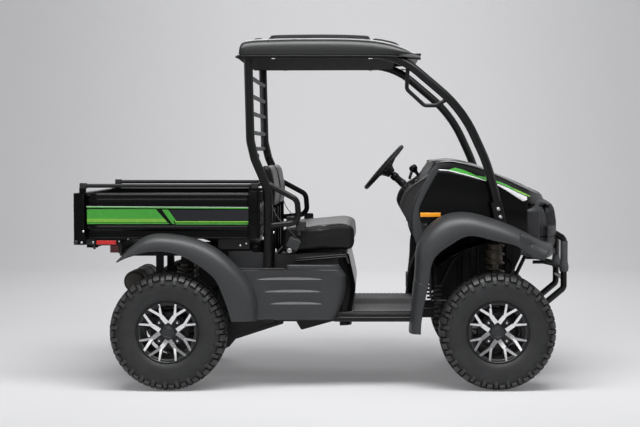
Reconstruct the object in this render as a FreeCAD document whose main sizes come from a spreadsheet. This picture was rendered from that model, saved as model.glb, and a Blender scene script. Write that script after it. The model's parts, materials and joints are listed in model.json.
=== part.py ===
import FreeCAD, Part
import Sketcher
import math
import os
import re

# Side by side utility vehicle with a tilting cargo bed, in millimetres.
# +X is forward, +Y is the driver's left, +Z is up. The origin lies on the ground,
# midway between the tailgate's bed posts and the front guard.

Vector = FreeCAD.Vector
doc = FreeCAD.newDocument("side_by_side_utv")
sheet = doc.addObject("Spreadsheet::Sheet", "Sizes")

# ---------------------------------------------------------------- driving sizes
# Columns: name, value in mm, what it is.
SIZES = [
    ("wheelbase", 1800, "rear axle to front axle"),
    ("rear_overhang", 522, "rear axle to the bed's tail posts"),
    ("front_overhang", 437, "front axle to the front of the guard"),
    ("track", 1150, "between the middles of left and right tyres"),
    ("tyre_diameter", 640, "over the tread"),
    ("tyre_width", 244, "over the sidewalls"),
    ("tyre_wall", 16, "thickness of the tyre's carcass"),
    ("bead_diameter", 332, "tyre's seat on the rim"),
    ("rim_width", 200, "rim barrel, edge to edge"),
    ("rim_dish", 66, "rim face behind the rim's outer edge"),
    ("rim_wall", 10, "rim barrel thickness"),
    ("rim_face", 14, "rim face thickness"),
    ("stub_diameter", 40, "axle stub in the wheel's centre bore"),
    ("running_gap", 0.05, "radial clearance of a shaft in its bore"),
    ("rest_gap", 0.3, "between a moving piece and the stop it rests on"),
    ("frame_spacing", 460, "between the middles of the main rails"),
    ("frame_tube", 50, "main rail, width and height"),
    ("sill_rise", 86, "top of the main rails and sills above the wheels' middles"),
    ("floor_plate", 10, "floor pan thickness"),
    ("body_width", 1160, "over the bed's sides"),
    ("hoop_spacing", 1120, "between the middles of the side hoops"),
    ("hoop_tube", 48, "hoop tube diameter"),
    ("roof_rail_height", 1838, "middle of the rails under the roof"),
    ("bed_floor_height", 847, "top of the bed's floor"),
    ("bed_depth", 228, "bed floor to the top of the side boards"),
    ("bed_wall", 12, "bed side board thickness"),
    ("bed_plate", 10, "bed floor thickness"),
    ("bed_hinge_drop", 38, "middle of the bed's hinge pins below the bed's floor plate"),
    ("bed_pin", 24, "bed hinge pin diameter"),
    ("gate_pin", 12, "tailgate hinge pin diameter"),
    ("seat_base_height", 744, "top of the box under the seat"),
    ("dash_bottom", 872, "underside of the dash"),
    ("cowl_width", 1060, "over the hood's sides"),
    ("fender_skin", 5, "fender thickness"),
    ("wheel_ring", 350, "steering wheel, outside diameter"),
    ("wheel_grip", 28, "steering wheel's grip thickness"),
    ("tongue_hole", 20, "hitch tongue's pin hole diameter"),
]
for row, (alias, value, meaning) in enumerate(SIZES, start=1):
    sheet.set("A%d" % row, alias)
    sheet.set("B%d" % row, str(value))
    sheet.set("C%d" % row, meaning)
    sheet.setAlias("B%d" % row, alias)
doc.recompute()

# Places worked out from the driving sizes, as expressions on the sheet.
PLACES = {
    "rear_axle": "(rear_overhang - wheelbase - front_overhang) / 2",
    "front_axle": "(rear_overhang + wheelbase - front_overhang) / 2",
    "wheel_height": "tyre_diameter / 2",
    "tyre_inner": "(track - tyre_width) / 2",
    "kingpin_reach": "tyre_inner - 20",
    "half_frame": "frame_spacing / 2",
    "rail_inner": "(frame_spacing - frame_tube) / 2",
    "rail_outer": "(frame_spacing + frame_tube) / 2",
    "sill_height": "wheel_height + sill_rise",
    "rail_bottom": "sill_height - frame_tube",
    "floor_top": "sill_height + floor_plate",
    "half_body": "body_width / 2",
    "panel_inner": "body_width / 2 + 10",
    "half_cowl": "cowl_width / 2",
    "seat_reach": "cowl_width / 2 - 10",
    "cheek_inner": "cowl_width / 2 - 50",
    "fender_inner": "cowl_width / 2 + 8.5",
    "fender_outer": "max((track + tyre_width) / 2 + 3; body_width / 2 + 70)",
    "hoop_reach": "hoop_spacing / 2",
    "post_x": "rear_axle + wheel_height + 225",
    "toe_x": "front_axle - wheel_height - 98",
    "bed_under": "bed_floor_height - bed_plate",
    "bed_hinge_height": "bed_under - bed_hinge_drop",
    "bed_top": "bed_floor_height + bed_depth",
    "hinge_x": "rear_axle - 432",
    "ear_inner": "body_width / 2 - 64",
    "ear_outer": "body_width / 2 - 52",
    "gate_x": "rear_axle - 511",
    "gate_z": "bed_floor_height + 4",
    "carrier_top": "bed_hinge_height - 40",
    "carrier_bottom": "bed_hinge_height - 90",
    "stub_reach": "track / 2 + rim_width / 2 - rim_dish + 8",
}


def full(expression):
    """The expression with every size and place made a reference to the sheet."""
    def swap(match):
        name = match.group(0)
        if name in PLACES:
            return "(" + full(PLACES[name]) + ")"
        return "Sizes." + name
    return re.sub(r"\b[a-z][a-z_]+\b(?!\()", swap, str(expression))


def number(expression):
    """The expression's value in mm."""
    return float(sheet.evalExpression(full(expression)))


# ---------------------------------------------------------------- making pieces
NODES = []


def node(label, piece):
    """Marks a document object as a finished sub-part and gives it its name."""
    piece.Label = label
    NODES.append(piece)
    return piece


def plane_of(body, role):
    return [item for item in body.Origin.OriginFeatures if item.Role == role][0]


def box(name, x, y, z):
    """A Part::Box between two corners; x, y and z are (low, high) expressions."""
    piece = doc.addObject("Part::Box", name)
    for axis, side, (low, high) in (("x", "Length", x), ("y", "Width", y), ("z", "Height", z)):
        piece.setExpression("Placement.Base." + axis, full(low))
        piece.setExpression(side, full("(%s) - (%s)" % (high, low)))
    return piece


def mirrored(piece):
    copy = doc.addObject("Part::Mirroring", piece.Name + "_other_side")
    copy.Source = piece
    copy.Normal = Vector(0, 1, 0)
    return copy


def group(label, pieces):
    """Separate solids that share a node."""
    whole = doc.addObject("Part::Compound", label)
    whole.Links = pieces
    return node(label, whole)


def pair(label, pieces):
    """Pieces on the left with their copies on the right."""
    return group(label, pieces + [mirrored(piece) for piece in pieces])


def sketch_outline(body, name, role, points):
    """A closed outline; each point is a pair of expressions in the plane."""
    sketch = body.newObject("Sketcher::SketchObject", name)
    sketch.AttachmentSupport = [(plane_of(body, role), "")]
    sketch.MapMode = "FlatFace"
    places = [(number(across), number(up)) for across, up in points]
    for index, (across, up) in enumerate(places):
        after = places[(index + 1) % len(places)]
        sketch.addGeometry(Part.LineSegment(Vector(across, up, 0), Vector(after[0], after[1], 0)), False)
    for index in range(len(points)):
        sketch.addConstraint(Sketcher.Constraint("Coincident", index, 2, (index + 1) % len(points), 1))
    for index, (across, up) in enumerate(points):
        for kind, expression in (("DistanceX", across), ("DistanceY", up)):
            rule = Sketcher.Constraint(kind, -1, 1, index, 1, number(expression))
            place = sketch.addConstraint(rule)
            sketch.setExpression("Constraints[%d]" % place, full(expression))
    return sketch


def side_plate(name, points, low, high):
    """A plate with a side outline, padded across the vehicle from low to high."""
    body = doc.addObject("PartDesign::Body", name)
    sketch = sketch_outline(body, name + "_outline", "XZ_Plane", points)
    pad = body.newObject("PartDesign::Pad", name + "_pad")
    pad.Profile = sketch
    pad.setExpression("Length", full("(%s) - (%s)" % (high, low)))
    # A pad from this plane grows towards -Y, so the body stands at its high side.
    body.setExpression("Placement.Base.y", full(high))
    return body


def from_anchor(x_anchor, z_anchor, table):
    """Outline points from a table of (x from the anchor, z from the anchor)."""
    return [("%s + (%g)" % (x_anchor, x), "%s + (%g)" % (z_anchor, z)) for x, z in table]


def shaped(label, shape):
    """A sub-part whose shape comes from curves that sketches don't suit."""
    piece = doc.addObject("Part::Feature", label)
    piece.Shape = shape
    piece.Placement = FreeCAD.Placement()
    return node(label, piece)


def both_sides(shape):
    return Part.makeCompound([shape, shape.mirror(Vector(0, 0, 0), Vector(0, 1, 0))])


def rod(start, end, radius):
    along = end - start
    return Part.makeCylinder(radius, along.Length, start, along)


def block(x, y, z):
    """A box shape between corners given in numbers."""
    return Part.makeBox(x[1] - x[0], y[1] - y[0], z[1] - z[0], Vector(x[0], y[0], z[0]))


def bent_tube(points, bend, radius):
    """A tube along straight runs joined by tangent arcs of one bend radius."""
    edges = []
    last = points[0]
    for before, corner, after in zip(points, points[1:], points[2:]):
        back = (before - corner).normalize()
        ahead = (after - corner).normalize()
        half_turn = back.getAngle(ahead) / 2
        start = corner + back * (bend / math.tan(half_turn))
        end = corner + ahead * (bend / math.tan(half_turn))
        towards = (back + ahead).normalize()
        middle = corner + towards * (bend / math.sin(half_turn) - bend)
        edges.append(Part.LineSegment(last, start).toShape())
        edges.append(Part.Arc(start, middle, end).toShape())
        last = end
    edges.append(Part.LineSegment(last, points[-1]).toShape())
    spine = Part.Wire(edges)
    ring = Part.Wire([Part.Circle(points[0], points[1] - points[0], radius).toShape()])
    return spine.makePipeShell([ring], True, False)


def loft(sections):
    """A straight-sided loft through closed sections, each a list of points."""
    wires = [Part.makePolygon(section + section[:1]) for section in sections]
    return Part.makeLoft(wires, True, True)


REAR = number("rear_axle")
FRONT = number("front_axle")
WHEEL_Z = number("wheel_height")
HALF_TRACK = number("track / 2")
HOOP_Y = number("hoop_reach")
HOOP_R = number("hoop_tube / 2")
RAIL_Z = number("roof_rail_height")
STUB_R = number("stub_diameter / 2")
GAP = number("running_gap")
SILL = number("sill_height")

# ---------------------------------------------------------------- wheels
# Tyre section: (from the tyre's middle, radius), outside first, then inside.
TYRE_SECTION = [
    ("-rim_width / 2 + 5", "bead_diameter / 2"),
    ("-tyre_width / 2", "bead_diameter / 2 + 40"),
    ("-tyre_width / 2", "tyre_diameter / 2 - 45"),
    ("-tyre_width / 2 + 22", "tyre_diameter / 2 - 10"),
    ("-tyre_width / 2 + 60", "tyre_diameter / 2"),
    ("tyre_width / 2 - 60", "tyre_diameter / 2"),
    ("tyre_width / 2 - 22", "tyre_diameter / 2 - 10"),
    ("tyre_width / 2", "tyre_diameter / 2 - 45"),
    ("tyre_width / 2", "bead_diameter / 2 + 40"),
    ("rim_width / 2 - 5", "bead_diameter / 2"),
    ("rim_width / 2 - 5 - tyre_wall", "bead_diameter / 2"),
    ("tyre_width / 2 - tyre_wall", "bead_diameter / 2 + 42"),
    ("tyre_width / 2 - tyre_wall", "tyre_diameter / 2 - 50"),
    ("tyre_width / 2 - 60", "tyre_diameter / 2 - tyre_wall"),
    ("-tyre_width / 2 + 60", "tyre_diameter / 2 - tyre_wall"),
    ("-tyre_width / 2 + tyre_wall", "tyre_diameter / 2 - 50"),
    ("-tyre_width / 2 + tyre_wall", "bead_diameter / 2 + 42"),
    ("-rim_width / 2 + 5 + tyre_wall", "bead_diameter / 2"),
]
# Rim section: barrel with a dished face, bored for the axle stub.
RIM_SECTION = [
    ("-rim_width / 2", "bead_diameter / 2"),
    ("rim_width / 2", "bead_diameter / 2"),
    ("rim_width / 2", "bead_diameter / 2 - rim_wall"),
    ("rim_width / 2 - rim_dish", "bead_diameter / 2 - rim_wall"),
    ("rim_width / 2 - rim_dish", "stub_diameter / 2 + running_gap"),
    ("rim_width / 2 - rim_dish - rim_face", "stub_diameter / 2 + running_gap"),
    ("rim_width / 2 - rim_dish - rim_face", "bead_diameter / 2 - rim_wall"),
    ("-rim_width / 2", "bead_diameter / 2 - rim_wall"),
]
RIM_WINDOWS = 8
RIM_WINDOW_RADIUS = 24


def turned(name, section, axle, side):
    """A body of revolution about its wheel's axis, its outer face outboard."""
    body = doc.addObject("PartDesign::Body", name)
    sketch = sketch_outline(body, name + "_section", "YZ_Plane", section)
    turn = body.newObject("PartDesign::Revolution", name + "_turn")
    turn.Profile = sketch
    turn.ReferenceAxis = (sketch, ["H_Axis"])
    turn.Angle = 360
    if side < 0:
        body.Placement.Rotation = FreeCAD.Rotation(Vector(0, 0, 1), 180)
    body.setExpression("Placement.Base.x", full(axle))
    body.setExpression("Placement.Base.y", full("%d * track / 2" % side))
    body.setExpression("Placement.Base.z", full("wheel_height"))
    return node(name, body)


def cut_windows(body):
    """Round windows between the rim's spokes."""
    doc.recompute()
    before = body.Shape.Volume
    sketch = body.newObject("Sketcher::SketchObject", body.Name + "_window")
    sketch.AttachmentSupport = [(plane_of(body, "XZ_Plane"), "")]
    sketch.MapMode = "FlatFace"
    reach = (number("bead_diameter / 2 - rim_wall") + STUB_R) / 2 + 10
    sketch.addGeometry(Part.Circle(Vector(0, reach, 0), Vector(0, 0, 1), RIM_WINDOW_RADIUS), False)
    pocket = body.newObject("PartDesign::Pocket", body.Name + "_window_cut")
    pocket.Profile = sketch
    pocket.Type = "ThroughAll"
    pocket.Midplane = True
    pattern = body.newObject("PartDesign::PolarPattern", body.Name + "_windows")
    pattern.Originals = [pocket]
    pattern.Axis = (plane_of(body, "Y_Axis"), [""])
    pattern.Angle = 360
    pattern.Occurrences = RIM_WINDOWS
    body.Tip = pattern
    doc.recompute()
    if not body.Shape.Volume < before - RIM_WINDOWS:
        raise RuntimeError(body.Name + ": the windows cut nothing")


WHEELS = [
    ("rear_left", "rear_axle", 1),
    ("rear_right", "rear_axle", -1),
    ("front_left", "front_axle", 1),
    ("front_right", "front_axle", -1),
]
for place, axle, side in WHEELS:
    turned("tyre_" + place, TYRE_SECTION, axle, side)
    cut_windows(turned("rim_" + place, RIM_SECTION, axle, side))

# ---------------------------------------------------------------- chassis
group("frame_rails", [
    box("rail_left", ("rear_axle - 330", "front_axle + 330"), ("rail_inner", "rail_outer"),
        ("rail_bottom", "sill_height")),
    box("rail_right", ("rear_axle - 330", "front_axle + 330"), ("-rail_outer", "-rail_inner"),
        ("rail_bottom", "sill_height")),
])

CROSS_TUBES = ["rear_axle - 310", "post_x", "toe_x - 55", "front_axle + 305"]
cross_tubes = [
    box("cross_tube_%d" % index, (middle + " - 20", middle + " + 20"), ("-rail_inner", "rail_inner"),
        ("rail_bottom", "sill_height"))
    for index, middle in enumerate(CROSS_TUBES)
]
outriggers = [
    box("rear_outrigger", ("post_x - 24", "post_x + 24"), ("rail_outer", "panel_inner"),
        ("sill_height - 40", "sill_height")),
    box("front_outrigger", ("toe_x - 78", "toe_x - 32"), ("rail_outer", "fender_inner"),
        ("sill_height - 40", "sill_height")),
]
group("cross_members", cross_tubes + outriggers + [mirrored(piece) for piece in outriggers])
pair("sills", [
    box("sill", ("post_x + 24", "toe_x - 78"), ("half_cowl - 30", "half_cowl + 10"),
        ("sill_height - 40", "sill_height")),
])
node("floor_pan", box("floor_plate_box", ("post_x + 30", "toe_x"), ("-half_cowl", "half_cowl"),
                      ("sill_height", "floor_top")))

TOE_BOARD = [
    ("toe_x - 12", "floor_top"),
    ("toe_x", "floor_top"),
    ("toe_x + 88", "dash_bottom"),
    ("toe_x + 76", "dash_bottom"),
]
toe_board = node("toe_board", side_plate("toe_board_body", TOE_BOARD, "-half_cowl", "half_cowl"))

# Uprights on the rails, and the beam that carries the rear shocks' top ends.
pair("rear_supports", [
    box("rear_upright", ("rear_axle - 120", "rear_axle - 80"), ("half_frame - 20", "half_frame + 20"),
        ("sill_height", "carrier_bottom")),
    box("middle_upright", ("rear_axle + 390", "rear_axle + 430"), ("half_frame - 20", "half_frame + 20"),
        ("sill_height", "carrier_bottom")),
    box("shock_bracket", ("rear_axle + 35", "rear_axle + 85"), ("half_frame - 20", "rail_outer + 95"),
        ("carrier_bottom - 40", "carrier_bottom")),
])
# A carrier rail steps up at its rear end, close under the bed's floor.
CARRIER_RAIL = [
    ("rear_axle - 326", "carrier_bottom"),
    ("rear_axle + 435", "carrier_bottom"),
    ("rear_axle + 435", "carrier_top"),
    ("rear_axle - 290", "carrier_top"),
    ("rear_axle - 290", "bed_under - 12"),
    ("hinge_x + 12", "bed_under - 12"),
    ("hinge_x + 12", "bed_under - 42"),
    ("rear_axle - 326", "bed_under - 42"),
]
pair("carrier_rails", [side_plate("carrier_rail", CARRIER_RAIL, "rail_inner", "rail_outer")])

# The rear beam ends in the bed's hinge pins. The bed's front rests on the front beam.
HINGE = Vector(number("hinge_x"), 0, number("bed_hinge_height"))
PIN_R = number("bed_pin / 2")
BEAM_REACH = number("ear_inner") - 11
PIN_REACH = number("ear_outer") + 6
rear_beam = block((HINGE.x - 12, HINGE.x + 12), (-BEAM_REACH, BEAM_REACH),
                  (HINGE.z - 28, HINGE.z + 20))
rear_beam = rear_beam.fuse(rod(HINGE + Vector(0, -PIN_REACH, 0), HINGE + Vector(0, PIN_REACH, 0), PIN_R))
front_beam = block((REAR + 385, REAR + 435), (-BEAM_REACH, BEAM_REACH),
                   (number("carrier_top"), number("bed_under - rest_gap")))
LAMP_REACH = number("half_body") - 90
lamp_bar = block((REAR - 290, REAR - 270), (-LAMP_REACH, LAMP_REACH),
                 (number("carrier_top"), number("carrier_top") + 40))
shaped("carrier_beams", Part.makeCompound([rear_beam.removeSplitter(), front_beam, lamp_bar]))

node("engine_block", box("engine_box", ("rear_axle + 120", "post_x - 30"),
                         ("-rail_inner", "rail_inner"), ("wheel_height - 30", "carrier_bottom - 15")))

# ---------------------------------------------------------------- rear axle
AXLE_TUBE_R = 27
DRUM_R = 90
ARM_Y = (number("rail_outer + 45"), number("rail_outer + 85"))
axle_centre = Vector(REAR, 0, WHEEL_Z)


def across(centre, reach):
    return centre + Vector(0, reach, 0)


rear_axle = rod(across(axle_centre, -HALF_TRACK), across(axle_centre, HALF_TRACK), AXLE_TUBE_R)
rear_axle = rear_axle.fuse(rod(across(axle_centre, -80), across(axle_centre, 80), 95))
STUB_REACH = number("stub_reach")
rear_axle = rear_axle.fuse(rod(across(axle_centre, -STUB_REACH), across(axle_centre, STUB_REACH), STUB_R))
for side in (1, -1):
    drum = rod(across(axle_centre, side * (HALF_TRACK - 60)),
               across(axle_centre, side * (HALF_TRACK + 8)), DRUM_R)
    low, high = sorted((side * ARM_Y[0], side * ARM_Y[1]))
    arm = block((REAR - 30, number("post_x - 24")), (low, high), (SILL - 66, SILL - 18))
    rear_axle = rear_axle.fuse([drum, arm])
shaped("rear_axle", rear_axle)

SHOCK_R = 30
SHOCK_Y = number("rail_outer + 65")
shock = rod(Vector(REAR + 60, SHOCK_Y, SILL - 18),
            Vector(REAR + 60, SHOCK_Y, number("carrier_bottom - 40")), SHOCK_R)
shaped("rear_shocks", both_sides(shock))

MUFFLER_R = 60
muffler_centre = Vector(REAR - 240, 0, number("carrier_bottom") - 147)
muffler = rod(across(muffler_centre, -250), across(muffler_centre, 250), MUFFLER_R)
for side in (1, -1):
    low, high = sorted((side * 215, side * 245))
    hanger = block((REAR - 240, REAR - 120), (low, high), (muffler_centre.z - 15, muffler_centre.z + 15))
    muffler = muffler.fuse(hanger)
shaped("muffler", muffler)

TONGUE_X = REAR - 372
tongue = block((REAR - 400, REAR - 330), (-35, 35), (SILL - 36, SILL - 24))
tongue_hole = Part.makeCylinder(number("tongue_hole / 2"), 40, Vector(TONGUE_X, 0, SILL - 50))
shaped("hitch_tongue", tongue.cut(tongue_hole))

# ---------------------------------------------------------------- front suspension and steering
# The kingpin leans inboard as it rises, and the strut lies on it.
KING_LEAN = 33.0 / 360.0
KING_Y = number("kingpin_reach")


def king(height):
    """A point on the left kingpin axis at a height above the ground."""
    return Vector(FRONT, KING_Y - (height - WHEEL_Z) * KING_LEAN, height)


UPRIGHT_X = (80, 120)
upright_y = (number("half_frame - 20"), number("half_frame + 20"))
DASH_Z = number("dash_bottom")
support = block((FRONT - 120, FRONT + 120), upright_y, (DASH_Z - 52, DASH_Z - 2))
for start, end in ((-UPRIGHT_X[1], -UPRIGHT_X[0]), UPRIGHT_X):
    support = support.fuse(block((FRONT + start, FRONT + end), upright_y, (SILL, DASH_Z - 52)))
supports = [support.removeSplitter()]
ARM_TOP = WHEEL_Z - 91
ARM_BOTTOM = ARM_TOP - 24
for start, end in ((-150, -125), (125, 150)):
    supports.append(block((FRONT + start, FRONT + end), (number("rail_inner + 10"), number("rail_outer")),
                          (ARM_TOP, number("rail_bottom"))))
shaped("front_supports", Part.makeCompound([both_sides(item) for item in supports]))

# The tower beam carries the struts' top mounts and the feet of the front hoops.
TOWER_Z = (DASH_Z - 2, DASH_Z + 50)
MOUNT_Z = DASH_Z - 17
tower = block((FRONT - 20, FRONT + 25), (-(HOOP_Y - HOOP_R), HOOP_Y - HOOP_R), TOWER_Z)
mount = rod(king(MOUNT_Z), king(TOWER_Z[0] + 15), 40)
tower = tower.fuse([mount, mount.mirror(Vector(0, 0, 0), Vector(0, 1, 0))])
shaped("tower_beam", tower)

ARM_ROOT = number("rail_inner + 10")
BALL_R = 8
arm_outline = [(-150, ARM_ROOT), (150, ARM_ROOT), (32, KING_Y + 25), (-32, KING_Y + 25)]
arm_corners = [Vector(FRONT + x, y, ARM_BOTTOM) for x, y in arm_outline + arm_outline[:1]]
arm = Part.Face(Part.makePolygon(arm_corners))
arm = arm.extrude(Vector(0, 0, ARM_TOP - ARM_BOTTOM))
arm = arm.fuse(rod(king(ARM_BOTTOM + 10), king(ARM_TOP + 29), BALL_R))
shaped("front_arms", both_sides(arm))

KNUCKLE_R = 26
KNUCKLE_BOTTOM = ARM_TOP + 7
STRUT_BOTTOM = WHEEL_Z + 200
SPRING_BOTTOM = WHEEL_Z + 352
front_centre = Vector(FRONT, 0, WHEEL_Z)
knuckle = rod(king(KNUCKLE_BOTTOM), king(STRUT_BOTTOM), KNUCKLE_R)
knuckle = knuckle.fuse([
    rod(across(front_centre, KING_Y), across(front_centre, HALF_TRACK - 15), 45),
    rod(across(front_centre, KING_Y), across(front_centre, STUB_REACH), STUB_R),
    block((FRONT - 125, FRONT), (KING_Y - 15, KING_Y + 15), (WHEEL_Z - 4, WHEEL_Z + 10)),
])
knuckle = knuckle.cut(rod(king(KNUCKLE_BOTTOM - 10), king(KNUCKLE_BOTTOM + 32), BALL_R + GAP))
strut = rod(king(STRUT_BOTTOM), king(SPRING_BOTTOM), 22)
strut = strut.fuse(rod(king(SPRING_BOTTOM), king(MOUNT_Z - number("rest_gap")), 46))
for name, side in (("left", 1), ("right", -1)):
    for label, shape in (("knuckle_", knuckle), ("front_strut_", strut)):
        own = shape if side > 0 else shape.mirror(Vector(0, 0, 0), Vector(0, 1, 0))
        shaped(label + name, own)

RACK_R = 10
rack_centre = Vector(FRONT - 110, 0, WHEEL_Z - 24)
housing = rod(across(rack_centre, -180), across(rack_centre, 180), 24)
for side in (1, -1):
    low, high = sorted((side * 60, side * 100))
    housing = housing.fuse(block((FRONT - 100, FRONT - 80), (low, high),
                                 (rack_centre.z - 10, rack_centre.z + 10)))
housing = housing.cut(rod(across(rack_centre, -200), across(rack_centre, 200), RACK_R + GAP))
shaped("rack_housing", housing)
shaped("tie_rod", rod(across(rack_centre, -KING_Y), across(rack_centre, KING_Y), RACK_R))

gearcase = block((FRONT - 80, FRONT + 100), (-110, 110), (WHEEL_Z - 70, SILL))
inner = number("rail_inner")
gearcase = gearcase.fuse([
    block((FRONT - 20, FRONT + 20), (-inner, inner), (SILL - 40, SILL - 8)),
    rod(across(front_centre, 58 - KING_Y), across(front_centre, KING_Y - 58), 12),
])
shaped("front_driveline", gearcase)

# ---------------------------------------------------------------- fenders
# Each arch is a band round its wheel. Columns: angle from forwards in degrees,
# top edge and lip as distances beyond the tyre's tread.
REAR_ARCH = [
    (124, 159, 153),
    (113, 187, 139),
    (101, 218, 132),
    (84, 205, 115),
    (66, 205, 88),
    (49, 197, 75),
    (36, 197, 51),
    (22, 192, 38),
    (7, 166, 38),
]
FRONT_ARCH = [
    (181, 176, 120),
    (168, 179, 122),
    (155, 208, 138),
    (143, 259, 170),
    (131, 346, 227),
    (118, 387, 235),
    (107, 372, 240),
    (93, 310, 188),
    (78, 258, 164),
    (66, 235, 137),
    (60, 243, 157),
]
SKIN = number("fender_skin")


def arch(axle_x, table, inner, outer):
    """A thin arched band: level at its inner edge, turned down to its outer lip."""
    sections = []
    for degrees, top_gap, lip_gap in table:
        angle = math.radians(degrees)
        top = WHEEL_Z + top_gap
        lip = WHEEL_Z + lip_gap
        shoulder = inner + 0.7 * (outer - inner)
        drop = 0.2 * (top - lip)
        outline = [
            (inner, top),
            (shoulder, top - drop),
            (outer, lip),
            (outer - SKIN, lip),
            (shoulder - 0.6 * SKIN, top - drop - SKIN),
            (inner, top - SKIN),
        ]
        sections.append([
            Vector(axle_x + math.cos(angle) * reach, y, WHEEL_Z + math.sin(angle) * reach)
            for y, reach in outline
        ])
    return loft(sections)


FENDER_OUTER = number("fender_outer")
rear_fender = arch(REAR, REAR_ARCH, number("panel_inner"), FENDER_OUTER)
shaped("rear_fenders", both_sides(rear_fender))

# ---------------------------------------------------------------- hoops, rails and bars
# Centre lines in the side hoops' plane. Columns: x, z.
POST_X = number("post_x")
BED_TOP = number("bed_top")
REAR_POST = [
    (POST_X - 110, RAIL_Z),
    (POST_X - 99, BED_TOP + 290),
    (POST_X - 76, BED_TOP + 190),
    (POST_X - 4, BED_TOP + 22),
    (POST_X - 4, SILL),
]
FRONT_POST = [
    (POST_X - 112 - HOOP_R, RAIL_Z),
    (FRONT - 551, RAIL_Z),
    (FRONT - 193, 1534),
    (FRONT - 58, 1241),
    (FRONT + 2, 1025),
    (FRONT + 14, 894),
]


def in_hoop_plane(table):
    return [Vector(x, HOOP_Y, z) for x, z in table]


SEAT_GAP = number("rest_gap")
front_post = bent_tube(in_hoop_plane(FRONT_POST), 240, HOOP_R)
front_room = bent_tube(in_hoop_plane(FRONT_POST), 240, HOOP_R + SEAT_GAP)
rear_post = bent_tube(in_hoop_plane(REAR_POST), 180, HOOP_R).cut(front_room)
rear_room = bent_tube(in_hoop_plane(REAR_POST), 180, HOOP_R + SEAT_GAP)
shaped("rear_posts", both_sides(rear_post))
shaped("front_posts", both_sides(front_post))

foot_room = bent_tube(in_hoop_plane(FRONT_POST[-3:] + [(FRONT + 17, 861)]), 240, HOOP_R + 1)
front_fender = arch(FRONT, FRONT_ARCH, number("fender_inner"), FENDER_OUTER)
shaped("front_fenders", both_sides(front_fender.cut(foot_room)))

SEAT_Z = number("seat_base_height")
HIP_BAR = [(POST_X - 62, BED_TOP + 174), (POST_X - 10, BED_TOP + 54), (POST_X + 157, SEAT_Z + 295),
           (POST_X + 167, SEAT_Z + 170), (POST_X - 15, SEAT_Z + 150)]
hip_bar = bent_tube(in_hoop_plane(HIP_BAR), 50, 16).cut(rear_room)
shaped("hip_bars", both_sides(hip_bar))

# The grab handle is on the passenger's side only.
GRAB = [(FRONT - 490, 1790), (FRONT - 497, 1645), (FRONT - 400, 1556), (FRONT - 335, 1556),
        (FRONT - 275, 1590)]
grab = bent_tube(in_hoop_plane(GRAB), 34, 11).cut(front_room)
shaped("grab_handle", grab.mirror(Vector(0, 0, 0), Vector(0, 1, 0)))

SCREEN_RUNGS = [1321, 1411, 1517, 1613, 1713]
SCREEN_X = POST_X - 103
inside_hoops = HOOP_Y - HOOP_R
screen = rod(Vector(SCREEN_X, 396, SCREEN_RUNGS[0]), Vector(SCREEN_X, 396, SCREEN_RUNGS[-1]), 8)
screen = screen.fuse(screen.mirror(Vector(0, 0, 0), Vector(0, 1, 0)))
for height in SCREEN_RUNGS:
    screen = screen.fuse(rod(Vector(SCREEN_X, -inside_hoops, height),
                             Vector(SCREEN_X, inside_hoops, height), 12))
shaped("rear_screen", screen)

shaped("roof_bars", Part.makeCompound([
    rod(Vector(x, -inside_hoops, RAIL_Z), Vector(x, inside_hoops, RAIL_Z), 19)
    for x in (POST_X - 65, FRONT - 600)
]))


def shell_section(x, outline, wall):
    """A section open below: outline from the left lip over the top, as (y, z)."""
    inside = [(y - math.copysign(wall, y) if y else 0, z - (wall if index else 0))
              for index, (y, z) in enumerate(outline)]
    left = [Vector(x, y, z) for y, z in outline]
    right = [Vector(x, -y, z) for y, z in reversed(outline) if y]
    inner_left = [Vector(x, y, z) for y, z in inside]
    inner_right = [Vector(x, -y, z) for y, z in reversed(inside) if y]
    return left + right + list(reversed(inner_left + inner_right))


# Roof. Columns: x, height at the shoulder, height at the crown.
ROOF = [
    (POST_X - 176, -6, 12),
    (POST_X - 145, 62, 92),
    (POST_X - 45, 78, 118),
    (FRONT - 790, 82, 127),
    (FRONT - 634, 66, 112),
    (FRONT - 545, 24, 85),
    (FRONT - 469, 2, 25),
    (FRONT - 420, -10, -5),
]
ROOF_LIP = 26
ROOF_WALL = 16
ROOF_HALF = HOOP_Y + HOOP_R + ROOF_WALL
roof = loft([
    shell_section(x, [(ROOF_HALF, RAIL_Z - ROOF_LIP), (ROOF_HALF - 6, RAIL_Z + shoulder * 0.6 + 8),
                      (ROOF_HALF - 40, RAIL_Z + shoulder + 8), (ROOF_HALF - 300, RAIL_Z + crown - 8),
                      (0, RAIL_Z + crown)], ROOF_WALL)
    for x, shoulder, crown in ROOF
])
shaped("roof", roof.cut([both_sides(front_room), both_sides(rear_room)]))

# ---------------------------------------------------------------- cabin
SIDE_PANEL = [(97, 250), (105, 278), (366, 278), (420, 278), (420, 136), (387, 42), (350, -27)]


def arch_edge(axle, degrees, gap):
    """A point on a fender's inner edge, as expressions."""
    turn = math.radians(degrees)
    reach = "(tyre_diameter / 2 + %g)" % gap
    return ("%s + %s * %.6f" % (axle, reach, math.cos(turn)),
            "wheel_height + %s * %.6f" % (reach, math.sin(turn)))


# The panel's rear edge lies along the rear fender's inner edge.
seam = [arch_edge("rear_axle", degrees, top_gap) for degrees, top_gap, _ in REAR_ARCH if degrees < 40]
panel_outline = from_anchor("post_x", "sill_height", SIDE_PANEL) + list(reversed(seam))
panel = side_plate("side_panel", panel_outline, "panel_inner", "panel_inner + 8")
pair("side_panels", [panel])

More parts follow.
